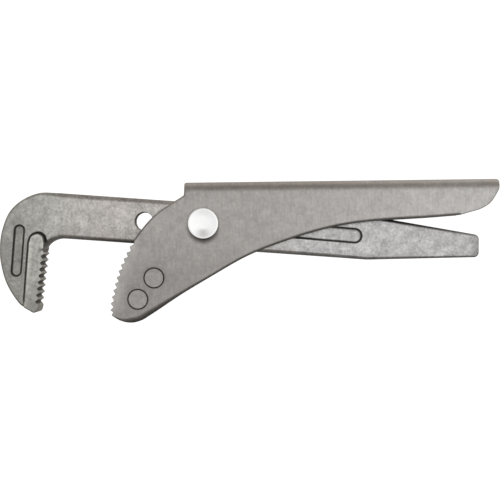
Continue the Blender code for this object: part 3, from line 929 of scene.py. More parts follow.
rivet_bore = RIVET_SHANK_RADIUS + RIVET_SLIT
rivet_mouth = RIVET_HEAD_RADIUS + RIVET_SLIT
insets, drops = seat_rim(rivet_mouth, RIVET_RIM, SMALL_EDGE, SMALL_HEM)
countersink = as_rows(insets + [rivet_bore], drops + [RIVET_SINK], rivet_bore)
insets, drops = seat_rim(RING_SEAT_RADIUS, RING_SEAT_DEPTH - SMALL_EDGE, SMALL_EDGE, SMALL_HEM)
ring_seat = as_rows(insets + [RING_SEAT_RADIUS - SMALL_EDGE, HOLE_RADIUS + SMALL_EDGE, HOLE_RADIUS],
                    drops + [RING_SEAT_DEPTH, RING_SEAT_DEPTH, RING_SEAT_DEPTH + SMALL_EDGE], HOLE_RADIUS)
bore_rim = round_rim(SMALL_EDGE, SMALL_EDGE, SMALL_HEM)

pin_bores = [hole((0, facing * girth(0.0)), HOLE_RADIUS) for facing in (-1, 1)]
rivet_places = on_cheek(list(RIVET_SHARES.values()))
rivet_bores = [hole((x, facing * girth(y)), rivet_bore) for x, y in rivet_places for facing in (-1, 1)]
print("Holes in the sheet:", len(pin_bores + rivet_bores))

# %% [markdown]
# Now the sheet is closed round its loops. Its lattice has rings of points round the pin's head and the
# rivets, because the painted shadow under the head and the residue round the rivets fade there within a
# millimetre or two, and a mark can only change from point to point.

# %% The channel's sheet
EDGE_DEPTHS = (0.12, 0.55, 2.9), (0.12, 0.45, 1.6)
EDGE_HEMS = (0.12, 0.35), (0.06, 0.35)
TOOTH_HEM = 0.06
BLANK_PITCH = 2.6
SPINE_STEPS = 2
LATTICE_CLEARANCE = 0.8
PIN_SHADOW_RADII = (6.9, 7.4, 8.0, 8.7, 9.5, 10.4)
RIVET_GRIME_REACH = 0.75
RIVET_RINGS = (SMALL_EDGE + 0.35, SMALL_EDGE + RIVET_GRIME_REACH)


def blank_lattice():
    """Points between the blank's loops: a level lattice on each cheek, rows over the bends and the spine, and
    rings round the pin and the rivets of the front cheek."""
    cheek = grid_of((-JAW_REACH, CHEEK_GIRTH + BLANK_PITCH / 2), (HANDLE_REACH, low_girth), BLANK_PITCH)
    columns = np.arange(-SPINE_FRONT, HANDLE_REACH, BLANK_PITCH)
    rows = np.concatenate([np.linspace(0, SPINE_HALF, SPINE_STEPS + 1)[:-1], bend_rows])
    roof = np.stack(np.meshgrid(columns, rows), axis=-1).reshape(-1, 2)
    half = np.vstack([cheek, roof])
    pin_rings = [hole((0, -girth(0.0)), radius) for radius in PIN_SHADOW_RADII]
    rivet_rings = [hole((x, -girth(y)), rivet_mouth + reach)
                   for x, y in rivet_places for reach in RIVET_RINGS]
    return np.unique(np.vstack([half, half * (1, -1)] + pin_rings + rivet_rings), axis=0)


outline_rim = round_rim(rim_width, np.interp(rim_width, *EDGE_DEPTHS), np.interp(rim_width, *EDGE_HEMS))
tooth_rim = round_rim(TOOTH_EDGE_WIDTH, TOOTH_EDGE_WIDTH, TOOTH_HEM)
loops = [outline] + pin_bores + rivet_bores
fronts = [outline_rim, bore_rim, ring_seat] + [countersink] * len(rivet_bores)
backs = [tooth_rim] + [bore_rim] * (len(pin_bores) + len(rivet_bores))
points, faces = plate_shell(loops, fronts, backs, level(PLATE / 2), blank_lattice(), LATTICE_CLEARANCE)
print("Points of the sheet:", len(points))

# %% [markdown]
# Painted shade lies all over the channel's inside, a painted shadow falls below the pin's head, residue
# sits round the rivets, and painted shade runs along the lower edges, where the wide rim of the toe holds
# most. The cheeks grow darker and duller downwards, but beside the teeth a pipe has rubbed them bright. It
# is all worked out on the flat blank, where each way along the surface is a straight one.

# %% Marks on the channel
HEAD_SHADOW_RADII = (6.6, 8.0)
HEAD_SHADOW_BELOW = 2.4
HEAD_SHADOW_SHARES = (0.3, 0.2, 0.45)
RIVET_GRIME = 0.66
RIVET_GRIME_FADE = (RIVET_GRIME_REACH, 0.02)
INNER_SHADE = 0.5
INNER_MARGIN = 0.01
TOE_DULLNESS = 0.13
TOE_DULL_FALL = -30.0
JAW_WEAR = 0.13
JAW_WEAR_FADE = (5.0, 0.5)


def beside_jaw():
    """How much a pipe has rubbed the cheeks: most on the line of the jaw's teeth, none beyond a reach."""
    top, toe = on_cheek([JAW_LINE_SHARES[0], JAW_LINE_SHARES[-2]])
    plan = np.column_stack([points[:, 0], BEND_START + CHEEK_GIRTH - np.abs(points[:, 1])])
    return ramp(distance_to(plan, top, toe), *JAW_WEAR_FADE)


def sheet_residue():
    """Residue and painted shade on the sheet's faces. Under the head a painted shadow has an even part, one
    that grows downwards and one that grows with the square of that, and it reaches further out below. Round a
    rivet the residue falls off squared."""
    x, way, height = points.T
    way_down = np.abs(way)
    below = way_down - girth(0.0)
    reach = np.hypot(x, below)
    lower = below / np.maximum(reach, 1)
    lower_half = np.maximum(lower, 0)
    even, slanted, downward_squared = HEAD_SHADOW_SHARES
    # A painted shadow under the pin's head: an even part, one that grows downwards and one with its square.
    head = ramp(reach, HEAD_SHADOW_RADII[1] + HEAD_SHADOW_BELOW * lower_half, HEAD_SHADOW_RADII[0])
    head = head * (even + slanted * lower + downward_squared * lower_half ** 2) * ((way < 0) & (height > 0))
    from_rivets = [np.hypot(x - place_x, way_down - girth(place_y)) - rivet_mouth
                   for place_x, place_y in rivet_places]
    rivets = [RIVET_GRIME * ramp(away, *RIVET_GRIME_FADE) ** 2 for away in from_rivets]
    # Painted shade over all of the channel's inner faces.
    inside = INNER_SHADE * (height < INNER_MARGIN - PLATE / 2)
    dull = TOE_DULLNESS * ramp(way_down, girth(0.0), girth(TOE_DULL_FALL)) * (1 - jaw_wear)
    return strongest(head, *rivets, inside, dull)


jaw_wear = beside_jaw()
sheet_marks = sheet_residue()
print("Share of the sheet's points with residue:", round(float((sheet_marks > 0).mean()), 2))

# %% [markdown]
# The edges come last. Their marks are painted shade, given row by row, from the flat over the rim to the
# wall, so the middle of a rim can be darker than its borders. On the brow and at the very tip of the toe it
# is lighter.

# %% Painted shade on the channel's edges
TOE_EDGE_SHADE = (0.0, 0.05, 0.4, 0.7, 0.8, 0.9)
EDGE_SHADE_ROWS = (0.0, 0.2, 0.42, 0.6, 0.7, 0.7)
EDGE_WALL_SHADE = 0.4
EDGE_SHADE_FALL = (6.0, 0.0)
TOE_RIM_WIDTHS = (1.05, 2.0)
BROW_EASE = 0.4
BROW_FALL = -9.0
TOE_TIP_EASE = 0.6
TOE_TIP_REACH = (-31.0, -41.0)
TOE_TIP_FALL = -36.0


def edge_residue():
    """Painted shade along the blank's outline: two sets of rows, blended by how wide the rim is there, times
    a share that is 1 along the lower edges and is eased at the brow and at the toe's tip."""
    x, way = outline[:, 0], np.abs(outline[:, 1])
    toe = ramp(rim_width, *TOE_RIM_WIDTHS)
    low = ramp(way, *girth(np.array(EDGE_SHADE_FALL)))
    low *= 1 - BROW_EASE * ((x < -SPINE_FRONT) & (way < girth(BROW_FALL)))
    low *= 1 - TOE_TIP_EASE * ramp(x, *TOE_TIP_REACH) * (way > girth(TOE_TIP_FALL))
    # The lower edges and their walls are darkened with painted shade.
    rows = np.concatenate([np.outer(TOE_EDGE_SHADE, toe) + np.outer(EDGE_SHADE_ROWS, 1 - toe),
                           np.full((LOOP_ROWS - RIM_ROWS, len(outline)), EDGE_WALL_SHADE)])
    return on_loop(points, rows * low)


make_piece("folded_channel", "channel_handle", "pressed_steel", fold(points), faces,
           residue=strongest(sheet_marks, edge_residue()), worn=JAW_WEAR * jaw_wear)

# %% [markdown]
# Between the cheeks sits a steel block, toothed together with them. It follows the cheeks' side view from its
# top tooth round the toe, and two straight sides close it. It touches both cheeks but for a hair, because the
# rivets pull them tight.

# %% The jaw's insert
INSERT_TOP_SHARE = -0.338
INSERT_REACH_SHARE = -0.5116
INSERT_CORNER_SHARES = (-0.2907, -0.288)
HAIR = 0.04


def placed(points, height, degrees=0.0):
    """Points drawn around the pin's axis, turned about it and moved to their place in the frame."""
    return turned_about_pin(points, degrees) + (PIN[0], PIN[1], height)


below_top = side[:, 1] < INSERT_TOP_SHARE * TOE_DROP
before_end = side[:, 0] < INSERT_REACH_SHARE * JAW_REACH
toothed_part = side[below_top & before_end, :2]
insert_outline = divided(np.vstack([toothed_part, on_cheek(INSERT_CORNER_SHARES)]), BLANK_STEP)
insert_bores = [hole(place, rivet_bore) for place in rivet_places]
insert_rims = [tooth_rim] + [bore_rim] * len(insert_bores)
insert_lattice = grid_of(insert_outline.min(axis=0), insert_outline.max(axis=0), BLANK_PITCH)
points, faces = plate_shell([insert_outline] + insert_bores, insert_rims, insert_rims,
                            level(MIDDLE - PLATE - HAIR), insert_lattice, LATTICE_CLEARANCE)
make_piece("toothed_insert", "jaw_insert", "milled_steel", placed(points, MIDDLE), faces)

# %% [markdown]
# The rivets were set into countersinks on both sides and ground flush, so all that shows of each is a disc
# with a fine dark line round it. The line is a real slit between the two rounded edges.

# %% Rivets
RIVET_CROWN = 0.05
RIVET_FLAT_EDGE = 0.35
RIVET_EDGE_GRIME = 0.85
RIVET_EDGE_FADE = (RIVET_HEAD_RADIUS - 0.3, RIVET_HEAD_RADIUS - 0.02)


def rivet_profile():
    """A rivet from its low pole to its high one: two countersunk heads, crowned by a hair, on one shank."""
    head, shank = RIVET_HEAD_RADIUS, RIVET_SHANK_RADIUS
    half = np.array([(0, 0), (head / 2, RIVET_CROWN / 4), (head - RIVET_FLAT_EDGE, RIVET_CROWN),
                     (head, RIVET_CROWN), (head, RIVET_RIM + RIVET_SLIT), (shank, RIVET_SINK + RIVET_SLIT)])
    whole = np.vstack([half, half[::-1] * (1, -1) + (0, WIDTH)])
    return rounded(whole, [0, 0, 0, SMALL_EDGE, 0, 0, 0, 0, SMALL_EDGE, 0, 0, 0], SMALL_ARC_STEPS)


for rivet, place in zip(RIVET_SHARES, rivet_places):
    points, faces = turned(rivet_profile())
    residue = RIVET_EDGE_GRIME * ramp(np.hypot(points[:, 0], points[:, 1]), *RIVET_EDGE_FADE)
    make_piece(rivet.replace("rivet", "flush_rivet"), rivet, "rivet_steel", placed(points + (*place, 0), 0),
               faces, residue=residue)

# %% [markdown]
# The hook bar is a drop forging. Its web is eight millimetres thick, with wide rounded rims where the die
# drew the metal in, two shallow slots in each face, and a thick pad that carries the teeth. The whole face,
# web, pad and slots together, is one height over the plan, so the rims, the pad's foot and the slots' walls
# run into each other as they do in the die. Modelling web and pad apart would leave a hard seam where they
# cross.

# %% The hook bar's outline
BAR_FALL = 11.3
THROAT_SHARE = -0.783
THROAT_RADIUS = 9.0
TAIL_LOWER_KNEE = 76.2
TAIL_UPPER_KNEE = 71.0
KNEE_RADIUS = 20.0
TAIL_CORNER_SLACK = 0.25
TAIL_END_RISE = 3.6
TAIL_END_FALL = 6.55
TAIL_END_LEAN = 0.7
TAIL_CORNER = 2.2
HOOK_TOOTH_PITCH = 2.98
HOOK_TOOTH_DEPTH = 1.55
HOOK_TIP_RADIUS = 0.2
HOOK_ROOT_RADIUS = 0.42
HOOK_LEDGE_SHARE = -0.3683
BAR_STEP = 0.4
HOLE_PITCH = 13.64
HOLE_ROW_FALL = 1.8
HOLE_COUNT = 3

HOOK_BACK_SHARES = [(-0.7324, 1.0), (-0.8233, 0.933), (-0.9118, 0.4857), (-0.9663, -0.0276),
                    (-0.9946, -0.2095), (-1.0, -0.3456), (-0.9921, -0.5041), (-0.9518, -0.7367),
                    (-0.8756, -0.935)]
HOOK_TIP_SHARES = [(-0.8756, -0.935), (-0.8517, -0.9546), (-0.828, -0.977), (-0.8035, -0.998),
                   (-0.7885, -0.981), (-0.783, -0.94)]
HOOK_TOOTH_SHARES = [(-0.783, -0.9201), (-0.7696, -0.3726)]
PAD_TOP_SHARES = [(-0.7674, -0.3866), (-0.7722, -0.3434), (-0.7749, -0.2873), (-0.7851, -0.2322),
                  (-0.8121, -0.2085), (-0.8445, -0.2397), (-0.8557, -0.3002)]
PAD_BEYOND_SHARES = [(-0.8575, -1.06), (-0.73, -1.06), (-0.73, -0.45)]
HOOK_SLOT_SHARES = [(-0.9075, -0.19), (-0.909, -0.6009)]


def on_hook(shares):
    """Places on the bar, from shares of its reach to the hook's back, to its upper edge and to its tip."""
    return around_pin(shares, HOOK_REACH, HOOK_REACH, BAR_RISE, HOOK_DROP)


def bar_outline():
    """The forging's side view, anticlockwise from the throat: lower edge, tail, upper edge, the hook's
    back, its tip and its teeth. The flank above the last tooth ends at the throat's wall, so the teeth
    stand proud of the wall on a small ledge."""
    throat_corner = (THROAT_SHARE * HOOK_REACH, -BAR_FALL)
    knee = (TAIL_LOWER_KNEE, -BAR_FALL)
    end = TAIL_REACH + TAIL_CORNER_SLACK
    below = (THROAT_SHARE * HOOK_REACH, -HOOK_DROP)
    arc = rounded([below, throat_corner, knee], [0, THROAT_RADIUS, 0], LARGE_ARC_STEPS)[1:-1]
    throat = arc[arc[:, 1] > HOOK_LEDGE_SHARE * HOOK_DROP]
    tail = [knee, (end, -TAIL_END_FALL), (end - TAIL_END_LEAN, TAIL_END_RISE), (TAIL_UPPER_KNEE, BAR_RISE)]
    tail_radii = [KNEE_RADIUS, TAIL_CORNER, TAIL_CORNER, KNEE_RADIUS]
    back = smooth(on_hook(HOOK_BACK_SHARES + HOOK_TIP_SHARES[1:]))
    teeth = teeth_along(on_hook(HOOK_TOOTH_SHARES), HOOK_TOOTH_PITCH, HOOK_TOOTH_DEPTH)[:-1]
    tooth_radii = np.where(np.arange(len(teeth)) % 2 == 0, HOOK_TIP_RADIUS, HOOK_ROOT_RADIUS)
    corners = np.vstack([throat, tail, back, teeth])
    radii = np.concatenate([0 * throat[:, 0], tail_radii, 0 * back[:, 0], tooth_radii])
    return rounded(corners, radii)


hook_line = divided(bar_outline(), BAR_STEP)
print("Points round the bar:", len(hook_line))

# %% [markdown]
# A wall between two levels is the same on the pad and in the slots: a hollow arc at its foot, a slope, and a
# round arc at its crest. As a height it depends on one number only, the distance from the wall's foot.

# %% The bar's relief
PAD_FOOT, PAD_DRAFT, PAD_CREST = 0.35, 0.22, 0.35
SLOT_FOOT, SLOT_DRAFT, SLOT_CREST = 0.2, 0.45, 0.3
SLOT_WALL = SLOT_DRAFT + SLOT_CREST
SLOT_DEPTH = 0.8
HOOK_SLOT_WIDTH = 5.0
TAIL_SLOT_WIDTH = 7.0
TAIL_SLOT_START = 16.0
TAIL_SLOT_END = 73.3
TAIL_SLOT_FALL = 0.7
MARK_EDGE_FADE = 0.28
SLOT_SHADE_REACH = 0.75
PAD_FOOT_SHADE = (-0.76, 0.56)
PAD_HIGHLIGHT_DEPTHS = (0.6, 1.0)
RELIEF_STEP = 0.32
RIPPLE = 0.02
RIPPLE_SWAY = 1.3
RIPPLE_LENGTHS = (3.7, 2.9, 4.3, 9.1)
RIPPLE_FADE = 0.1


def step_up(distance, rise, foot, draft, crest):
    """Height of a wall at a distance past its foot: the foot's arc, a share of the slope, the crest's arc."""
    hollow = np.clip(distance + foot, 0, foot)
    bulge = np.clip(draft + crest - distance, 0, crest)
    slope = np.clip(distance / draft, 0, 1) * (rise - foot - crest)
    return foot - np.sqrt(foot ** 2 - hollow ** 2) + slope + np.sqrt(crest ** 2 - bulge ** 2)


def wall_stops(foot, draft, crest):
    """Distances past a wall's foot where its arcs have turned by thirds of a quarter, its slope's middle,
    and a row beyond on either side for the edges of the painted shade."""
    turns = np.radians([0, 30, 60, 90])
    stops = np.concatenate([foot * (np.sin(turns) - 1), [draft / 2], draft + crest * (1 - np.cos(turns))])
    return np.concatenate([[stops[0] - MARK_EDGE_FADE], stops, [stops[-1] + MARK_EDGE_FADE]])


def slot_outline(start, end, radius):
    """A line all round two points at a radius: a rectangle whose corners are rounded until they meet."""
    ahead = unit(end - start) * radius
    aside = left_of(ahead)
    corners = [start - ahead - aside, end + ahead - aside, end + ahead + aside, start - ahead + aside]
    return rounded(corners, radius, LARGE_ARC_STEPS)


pad_line = np.vstack([smooth(on_hook(PAD_TOP_SHARES)), on_hook(PAD_BEYOND_SHARES)])
tail_slot_ends = np.array([(TAIL_SLOT_START + TAIL_SLOT_WIDTH / 2, 0),
                           (TAIL_SLOT_END - TAIL_SLOT_WIDTH / 2, -TAIL_SLOT_FALL)])
slots = [(*on_hook(HOOK_SLOT_SHARES), HOOK_SLOT_WIDTH / 2 - SLOT_WALL),
         (*tail_slot_ends, TAIL_SLOT_WIDTH / 2 - SLOT_WALL)]
PAD_RISE = MIDDLE - BAR_HALF


def bar_half(plan):
    """Half of the bar's thickness over its plan: the web's, with the pad added and the slots taken off, and
    on the web a ripple from the die, the product of two slow sine waves."""
    x, y = plan[..., 0], plan[..., 1]
    first, sway, second, slow = RIPPLE_LENGTHS
    ripple = RIPPLE * (np.sin(x / first + RIPPLE_SWAY * np.sin(y / sway)) * np.sin(y / second + x / slow))
    height = BAR_HALF + step_up(depth_inside(plan, [pad_line]), PAD_RISE, PAD_FOOT, PAD_DRAFT, PAD_CREST)
    for start, end, radius in slots:
        outside = distance_to(plan, start, end) - radius
        height += step_up(outside, SLOT_DEPTH, SLOT_FOOT, SLOT_DRAFT, SLOT_CREST) - SLOT_DEPTH
    return height + ripple * ramp(BAR_HALF + PAD_RISE / 2 - height, -RIPPLE_FADE, RIPPLE_FADE) - RIPPLE


def contours(loop, stops, pitch):
    """Points along lines beside a loop, at each stop's distance to its left."""
    loop = divided(loop, pitch)
    return (loop + inward(loop) * np.asarray(stops)[:, None, None]).reshape(-1, 2)


print("Half thickness of the web at the pin, and of the pad, in mm:",
      bar_half(np.array([(0.0, 0.0), tuple(on_hook((-0.81, -0.7))[0])])).round(2))

# %% [markdown]
# The rim is wide where the die drew the metal in, narrow on the pad's crisp edge, and changes along the way.
# The lattice follows the relief: rows of points run along the pad and the slots, at the very distances where
# a wall's arcs turn and the edges of the painted shade and highlight lie, and a plain lattice fills what is
# left.

# %% The hook bar
PAD_BLEND = (-1.2, 1.0)
PAD_RIM_DROPS = (-1.0, -0.944, -0.925)
PAD_RIM_WIDTHS = (0.5, 0.35, 0.1)
WEB_RIM_REACH = (-0.95, -0.83, -0.7, 0.6, 0.85, 1.33, 1.36)
WEB_RIM_WIDTHS = (0.7, 1.0, 2.1, 1.9, 1.4, 0.9, 0.5)
BAR_RIM_DEPTHS = (0.1, 0.5, 1.7), (0.12, 0.5, 1.4)
BAR_RIM_HEMS = (0.1, 0.5), (0.06, 0.3)
HOLE_RIM = 0.15
BAR_PITCH = 1.7
BAR_CLEARANCE = 0.5
GUIDE_CLEARANCE = 0.12
GUIDE_MARGIN = 1.3
LATTICE_DIGITS = 4

on_pad = ramp(depth_inside(hook_line, [pad_line]), *PAD_BLEND)
pad_rim = np.interp(hook_line[:, 1] / HOOK_DROP, PAD_RIM_DROPS, PAD_RIM_WIDTHS)
web_rim = np.interp(hook_line[:, 0] / HOOK_REACH, WEB_RIM_REACH, WEB_RIM_WIDTHS)
bar_rim = web_rim * (1 - on_pad) + pad_rim * on_pad
bar_profile = round_rim(bar_rim, np.interp(bar_rim, *BAR_RIM_DEPTHS), np.interp(bar_rim, *BAR_RIM_HEMS))
hole_row = np.array([(-HOLE_PITCH * number, 0.0) for number in range(HOLE_COUNT)])
hole_row = turned_about_pin(hole_row, HOLE_ROW_FALL)
bar_holes = [hole(centre, HOLE_RADIUS) for centre in hole_row]
bar_rims = [bar_profile] + [round_rim(HOLE_RIM, HOLE_RIM, SMALL_HEM)] * HOLE_COUNT

bar_grid = grid_of(hook_line.min(axis=0), hook_line.max(axis=0), BAR_PITCH)
away = np.abs(depth_inside(bar_grid, [pad_line])) > GUIDE_MARGIN
pad_stops = np.append(wall_stops(PAD_FOOT, PAD_DRAFT, PAD_CREST), [PAD_FOOT_SHADE[0] - MARK_EDGE_FADE, PAD_HIGHLIGHT_DEPTHS[1]])
guides = [contours(pad_line, pad_stops, RELIEF_STEP)]
for start, end, radius in slots:
    away &= np.abs(distance_to(bar_grid, start, end) - radius - SLOT_WALL / 2) > GUIDE_MARGIN
    stops = np.append(-wall_stops(SLOT_FOOT, SLOT_DRAFT, SLOT_CREST), SLOT_SHADE_REACH + MARK_EDGE_FADE)
    guides.append(contours(slot_outline(start, end, radius), stops, RELIEF_STEP))
whole = np.vstack([bar_grid[away]] + guides).round(LATTICE_DIGITS)
lattice, first = np.unique(whole, axis=0, return_index=True)
clearances = np.where(first < away.sum(), BAR_CLEARANCE, GUIDE_CLEARANCE)
points, faces = plate_shell([hook_line] + bar_holes, bar_rims, bar_rims, bar_half, lattice, clearances)
print("Points of the bar:", len(points))

# %% [markdown]
# On the forging's faces a dark line of painted shade runs along the pad's foot, in the corner where the
# wall meets the web. It is fainter beside the throat, at the tip and high up the pad's wall. The pad, the
# hook, the web's lower side and the tail's end are a little dull.

# %% Marks on the bar's faces
FACE_HEIGHTS = (3.0, 3.6)
PAD_LINE_EASE = 0.5
BY_THROAT = (-77.0, -75.0), (-12.8, -15.0)
BY_TIP = (-40.0, -43.0)
PAD_WALL_EASE = 0.35
PAD_WALL_HEIGHTS = (BAR_HALF + 0.8, MIDDLE - 0.4)
PAD_DULLNESS = (0.08, 0.24)
PAD_DULL_FALL = (-26.0, -38.0)
PAD_DULL_DEPTHS = (0.3, 1.0)
LOWER_DULLNESS = 0.12
LOWER_DULL_FALL = (-3.0, -9.0)
LOWER_DULL_REACH = (-74.0, -66.0), (-20.0, -30.0)
HOOK_DULLNESS = 0.15
HOOK_BACK_REACH = (-64.0, -88.0)
HOOK_DULL_REACH = (-58.0, -72.0)
HOOK_DULL_FALL = (4.0, -26.0)
TAIL_END_DULLNESS = 0.2
TAIL_END_DULL_REACH = (TAIL_REACH - 5.0, TAIL_REACH - 2.0)

bar_plan, bar_height = points[:, :2], points[:, 2]
pad_depth = depth_inside(bar_plan, [pad_line])
facing = ramp(np.abs(bar_height), *FACE_HEIGHTS)


def face_residue():
    """Painted shade and dullness on the faces. The painted line at the pad's foot is 1 within its distances
    from the pad's line, times one less each ease. A dullness is its strength times ramps along and across
    the bar."""
    x, y = bar_plan.T
    # The dark line at the pad's foot is painted shade in the corner.
    line = between(pad_depth, *PAD_FOOT_SHADE, MARK_EDGE_FADE) * facing
    line *= 1 - PAD_LINE_EASE * strongest(ramp(x, *BY_THROAT[0]) * ramp(y, *BY_THROAT[1]), ramp(y, *BY_TIP))
    line *= 1 - PAD_WALL_EASE * ramp(np.abs(bar_height), *PAD_WALL_HEIGHTS)
    pad = np.interp(ramp(y, *PAD_DULL_FALL), (0, 1), PAD_DULLNESS) * ramp(pad_depth, *PAD_DULL_DEPTHS)
    across = ramp(x, *LOWER_DULL_REACH[0]) * ramp(x, *LOWER_DULL_REACH[1])
    lower = LOWER_DULLNESS * ramp(y, *LOWER_DULL_FALL) * across
    hook = ramp(x, *HOOK_BACK_REACH) + ramp(y, *HOOK_DULL_FALL) * ramp(x, *HOOK_DULL_REACH)
    tail = TAIL_END_DULLNESS * ramp(x, *TAIL_END_DULL_REACH)
    return strongest(line, pad, lower, HOOK_DULLNESS * hook * (pad_depth < 0), tail)


face_marks = face_residue()
print("Strongest residue on the faces:", round(float(face_marks.max()), 2))

# %% [markdown]
# The slots' walls are darkened with painted shade, and on their upper side the painted shade reaches in over
# the floor. Each hole has a ring of painted shade, strongest on its upper left.

# %% Marks in the slots and round the holes
SLOT_SHADE = 0.92
SLOT_SHADE_TOWARDS = (0.4, 0.9)
SLOT_FLOOR_EDGE = 0.2
SLOT_FLOOR_DULLNESS = 0.05
HOLE_SHADE = (0.35, 0.5)
HOLE_SHADE_TOWARDS = (-0.7, 0.7)
HOLE_SHADE_FADE = (HOLE_RADIUS + 0.35, HOLE_RADIUS + 0.05)


def slot_residue(start, end, radius):
    """Painted shade on a slot's walls, from the crest in to the floor's edge, and further in by the share to
    which the wall lies towards the upper side. Also the dullness of the floor."""
    outside = distance_to(bar_plan, start, end) - radius
    upper = np.clip(unit(steps_from(bar_plan, start, end)) @ SLOT_SHADE_TOWARDS, 0, 1)
    inner_end = -SLOT_FLOOR_EDGE - (SLOT_SHADE_REACH - SLOT_FLOOR_EDGE) * upper
    # Painted shade on the walls, reaching further in on the upper side.
    walls = SLOT_SHADE * between(outside, inner_end, SLOT_WALL, MARK_EDGE_FADE) * facing
    return walls, SLOT_FLOOR_DULLNESS * ramp(outside, 0.0, -SLOT_FLOOR_EDGE)


def hole_residue(centre):
    """Painted shade in a ring round a hole: an even part, and one that grows towards the upper left."""
    away = bar_plan - centre
    reach = np.linalg.norm(away, axis=1)
    upper_left = np.clip(away @ HOLE_SHADE_TOWARDS / np.maximum(reach, 1), 0, 1)
    # Painted shade, heaviest on the hole's upper left.
    return (HOLE_SHADE[0] + HOLE_SHADE[1] * upper_left) * ramp(reach, *HOLE_SHADE_FADE)


slot_walls, slot_floors = zip(*[slot_residue(*slot) for slot in slots])
hollow_marks = strongest(*slot_walls, *[hole_residue(centre) for centre in hole_row])
print("Points on the slots' floors:", int((sum(slot_floors) > 0).sum()))

# %% [markdown]
# The gullets between the hook's teeth carry residue and painted shade from the front face to past their
# middle, where a pipe would rub them clean, and the ledge above the last tooth carries painted shade.

# %% Marks on the hook's teeth
GULLET_SHADE_AND_RESIDUE = 0.92
GULLET_DEPTHS = (0.2, 0.9), (2.2, 1.7)
GULLET_FRONT = (-6.2, -4.6)
TOOTH_WALL_TOP = (MIDDLE - 0.02, MIDDLE - 0.12)
TOOTH_ROW_FADE = 0.02
LEDGE_SHADE = 0.8
LEDGE_SHARES = (1.0, 1.02)
LEDGE_DEPTHS = (0.2, 2.5)
LEDGE_FADE = 0.3

lowest_tip, highest_tip = on_hook(HOOK_TOOTH_SHARES)
tooth_run = highest_tip - lowest_tip


def along_teeth(plan):
    """A place's share of the way along the line of the tips, by projection, from the lowest tip."""
    return (plan - lowest_tip) @ tooth_run / (tooth_run @ tooth_run)


def tooth_residue():
    """Residue and painted shade in the gullets, between two depths behind the line of the tips, and painted
    shade on the ledge above them.
    """
    share = along_teeth(bar_plan)
    inside = (bar_plan - lowest_tip) @ left_of(unit(tooth_run))
    # Residue and painted shade in the gullets, only towards the front face.
    gullets = between(share, 0.0, 1.0, TOOTH_ROW_FADE) * ramp(inside, *GULLET_DEPTHS[0])
    gullets *= ramp(inside, *GULLET_DEPTHS[1]) * ramp(bar_height, *GULLET_FRONT)
    gullets *= ramp(np.abs(bar_height), *TOOTH_WALL_TOP)
    # Painted shade in the ledge's corner.
    ledge = between(share, *LEDGE_SHARES, TOOTH_ROW_FADE) * between(inside, *LEDGE_DEPTHS, LEDGE_FADE)
    return strongest(GULLET_SHADE_AND_RESIDUE * gullets, LEDGE_SHADE * ledge)


tooth_marks = tooth_residue()
print("Points in the dark gullets:", int((tooth_marks > GULLET_SHADE_AND_RESIDUE / 2).sum()))

# %% [markdown]
# The rim and the wall carry painted shade by stretches: the throat, the hook's tip, the lower edge, which is
# darkest beside the lower jaw, the tail's upper edge, where it is a painted shadow under the cheek, and all
# the rest. A strip along the pad's edge and a row of the lower rim carry a painted highlight.

# %% Painted shade and highlights on the bar's rim
WALL_SHADE = 0.3
DARK_WALL_SHADE = 0.9
RIM_SHADE = (0.0, 0.15, 0.2, 0.25, 0.4, 0.45)
LOWER_RIM_SHADE = (0.1, 0.0, 0.2, 0.55, 0.45, 0.35)
# A painted highlight along the crest of the lower rim.
LOWER_RIM_HIGHLIGHT = (0.0, 0.12, 0.0, 0.0, 0.0, 0.0)
LOWER_EDGE_FALL = (-0.45 * BAR_FALL, -0.95 * BAR_FALL)
LOWER_EDGE_REACH = (-72.0, -66.0)
JAW_SHADE_REACH = (-60.0, -38.0)
JAW_SHADE_MORE = 0.6
THROAT_SHADE = (0.1, 0.5, 0.75, 0.55, 0.5, 0.5)
THROAT_START = (1.0, 1.03)
THROAT_REACH = (-66.0, -70.0)
THROAT_MARGIN = 1.0
TIP_SHADE = (0.12, 0.35, 0.4, 0.45, 0.5, 0.5)
TIP_FALL = (-0.9 * HOOK_DROP, -0.94 * HOOK_DROP)
TIP_REACH = HOOK_TIP_SHARES[3][0] * HOOK_REACH
TAIL_TOP_SHADOW = (0.1, 0.5, 0.9, 0.95, 0.95, 0.95)
TAIL_TOP_REACH = (128.0, 85.0), (30.0, 50.0)
TAIL_END_REACH = (TAIL_REACH - 1.0, TAIL_REACH - 3.0)
PAD_EDGE_HIGHLIGHT = 0.35
PAD_EDGE_HEIGHTS = (4.0, 6.0)


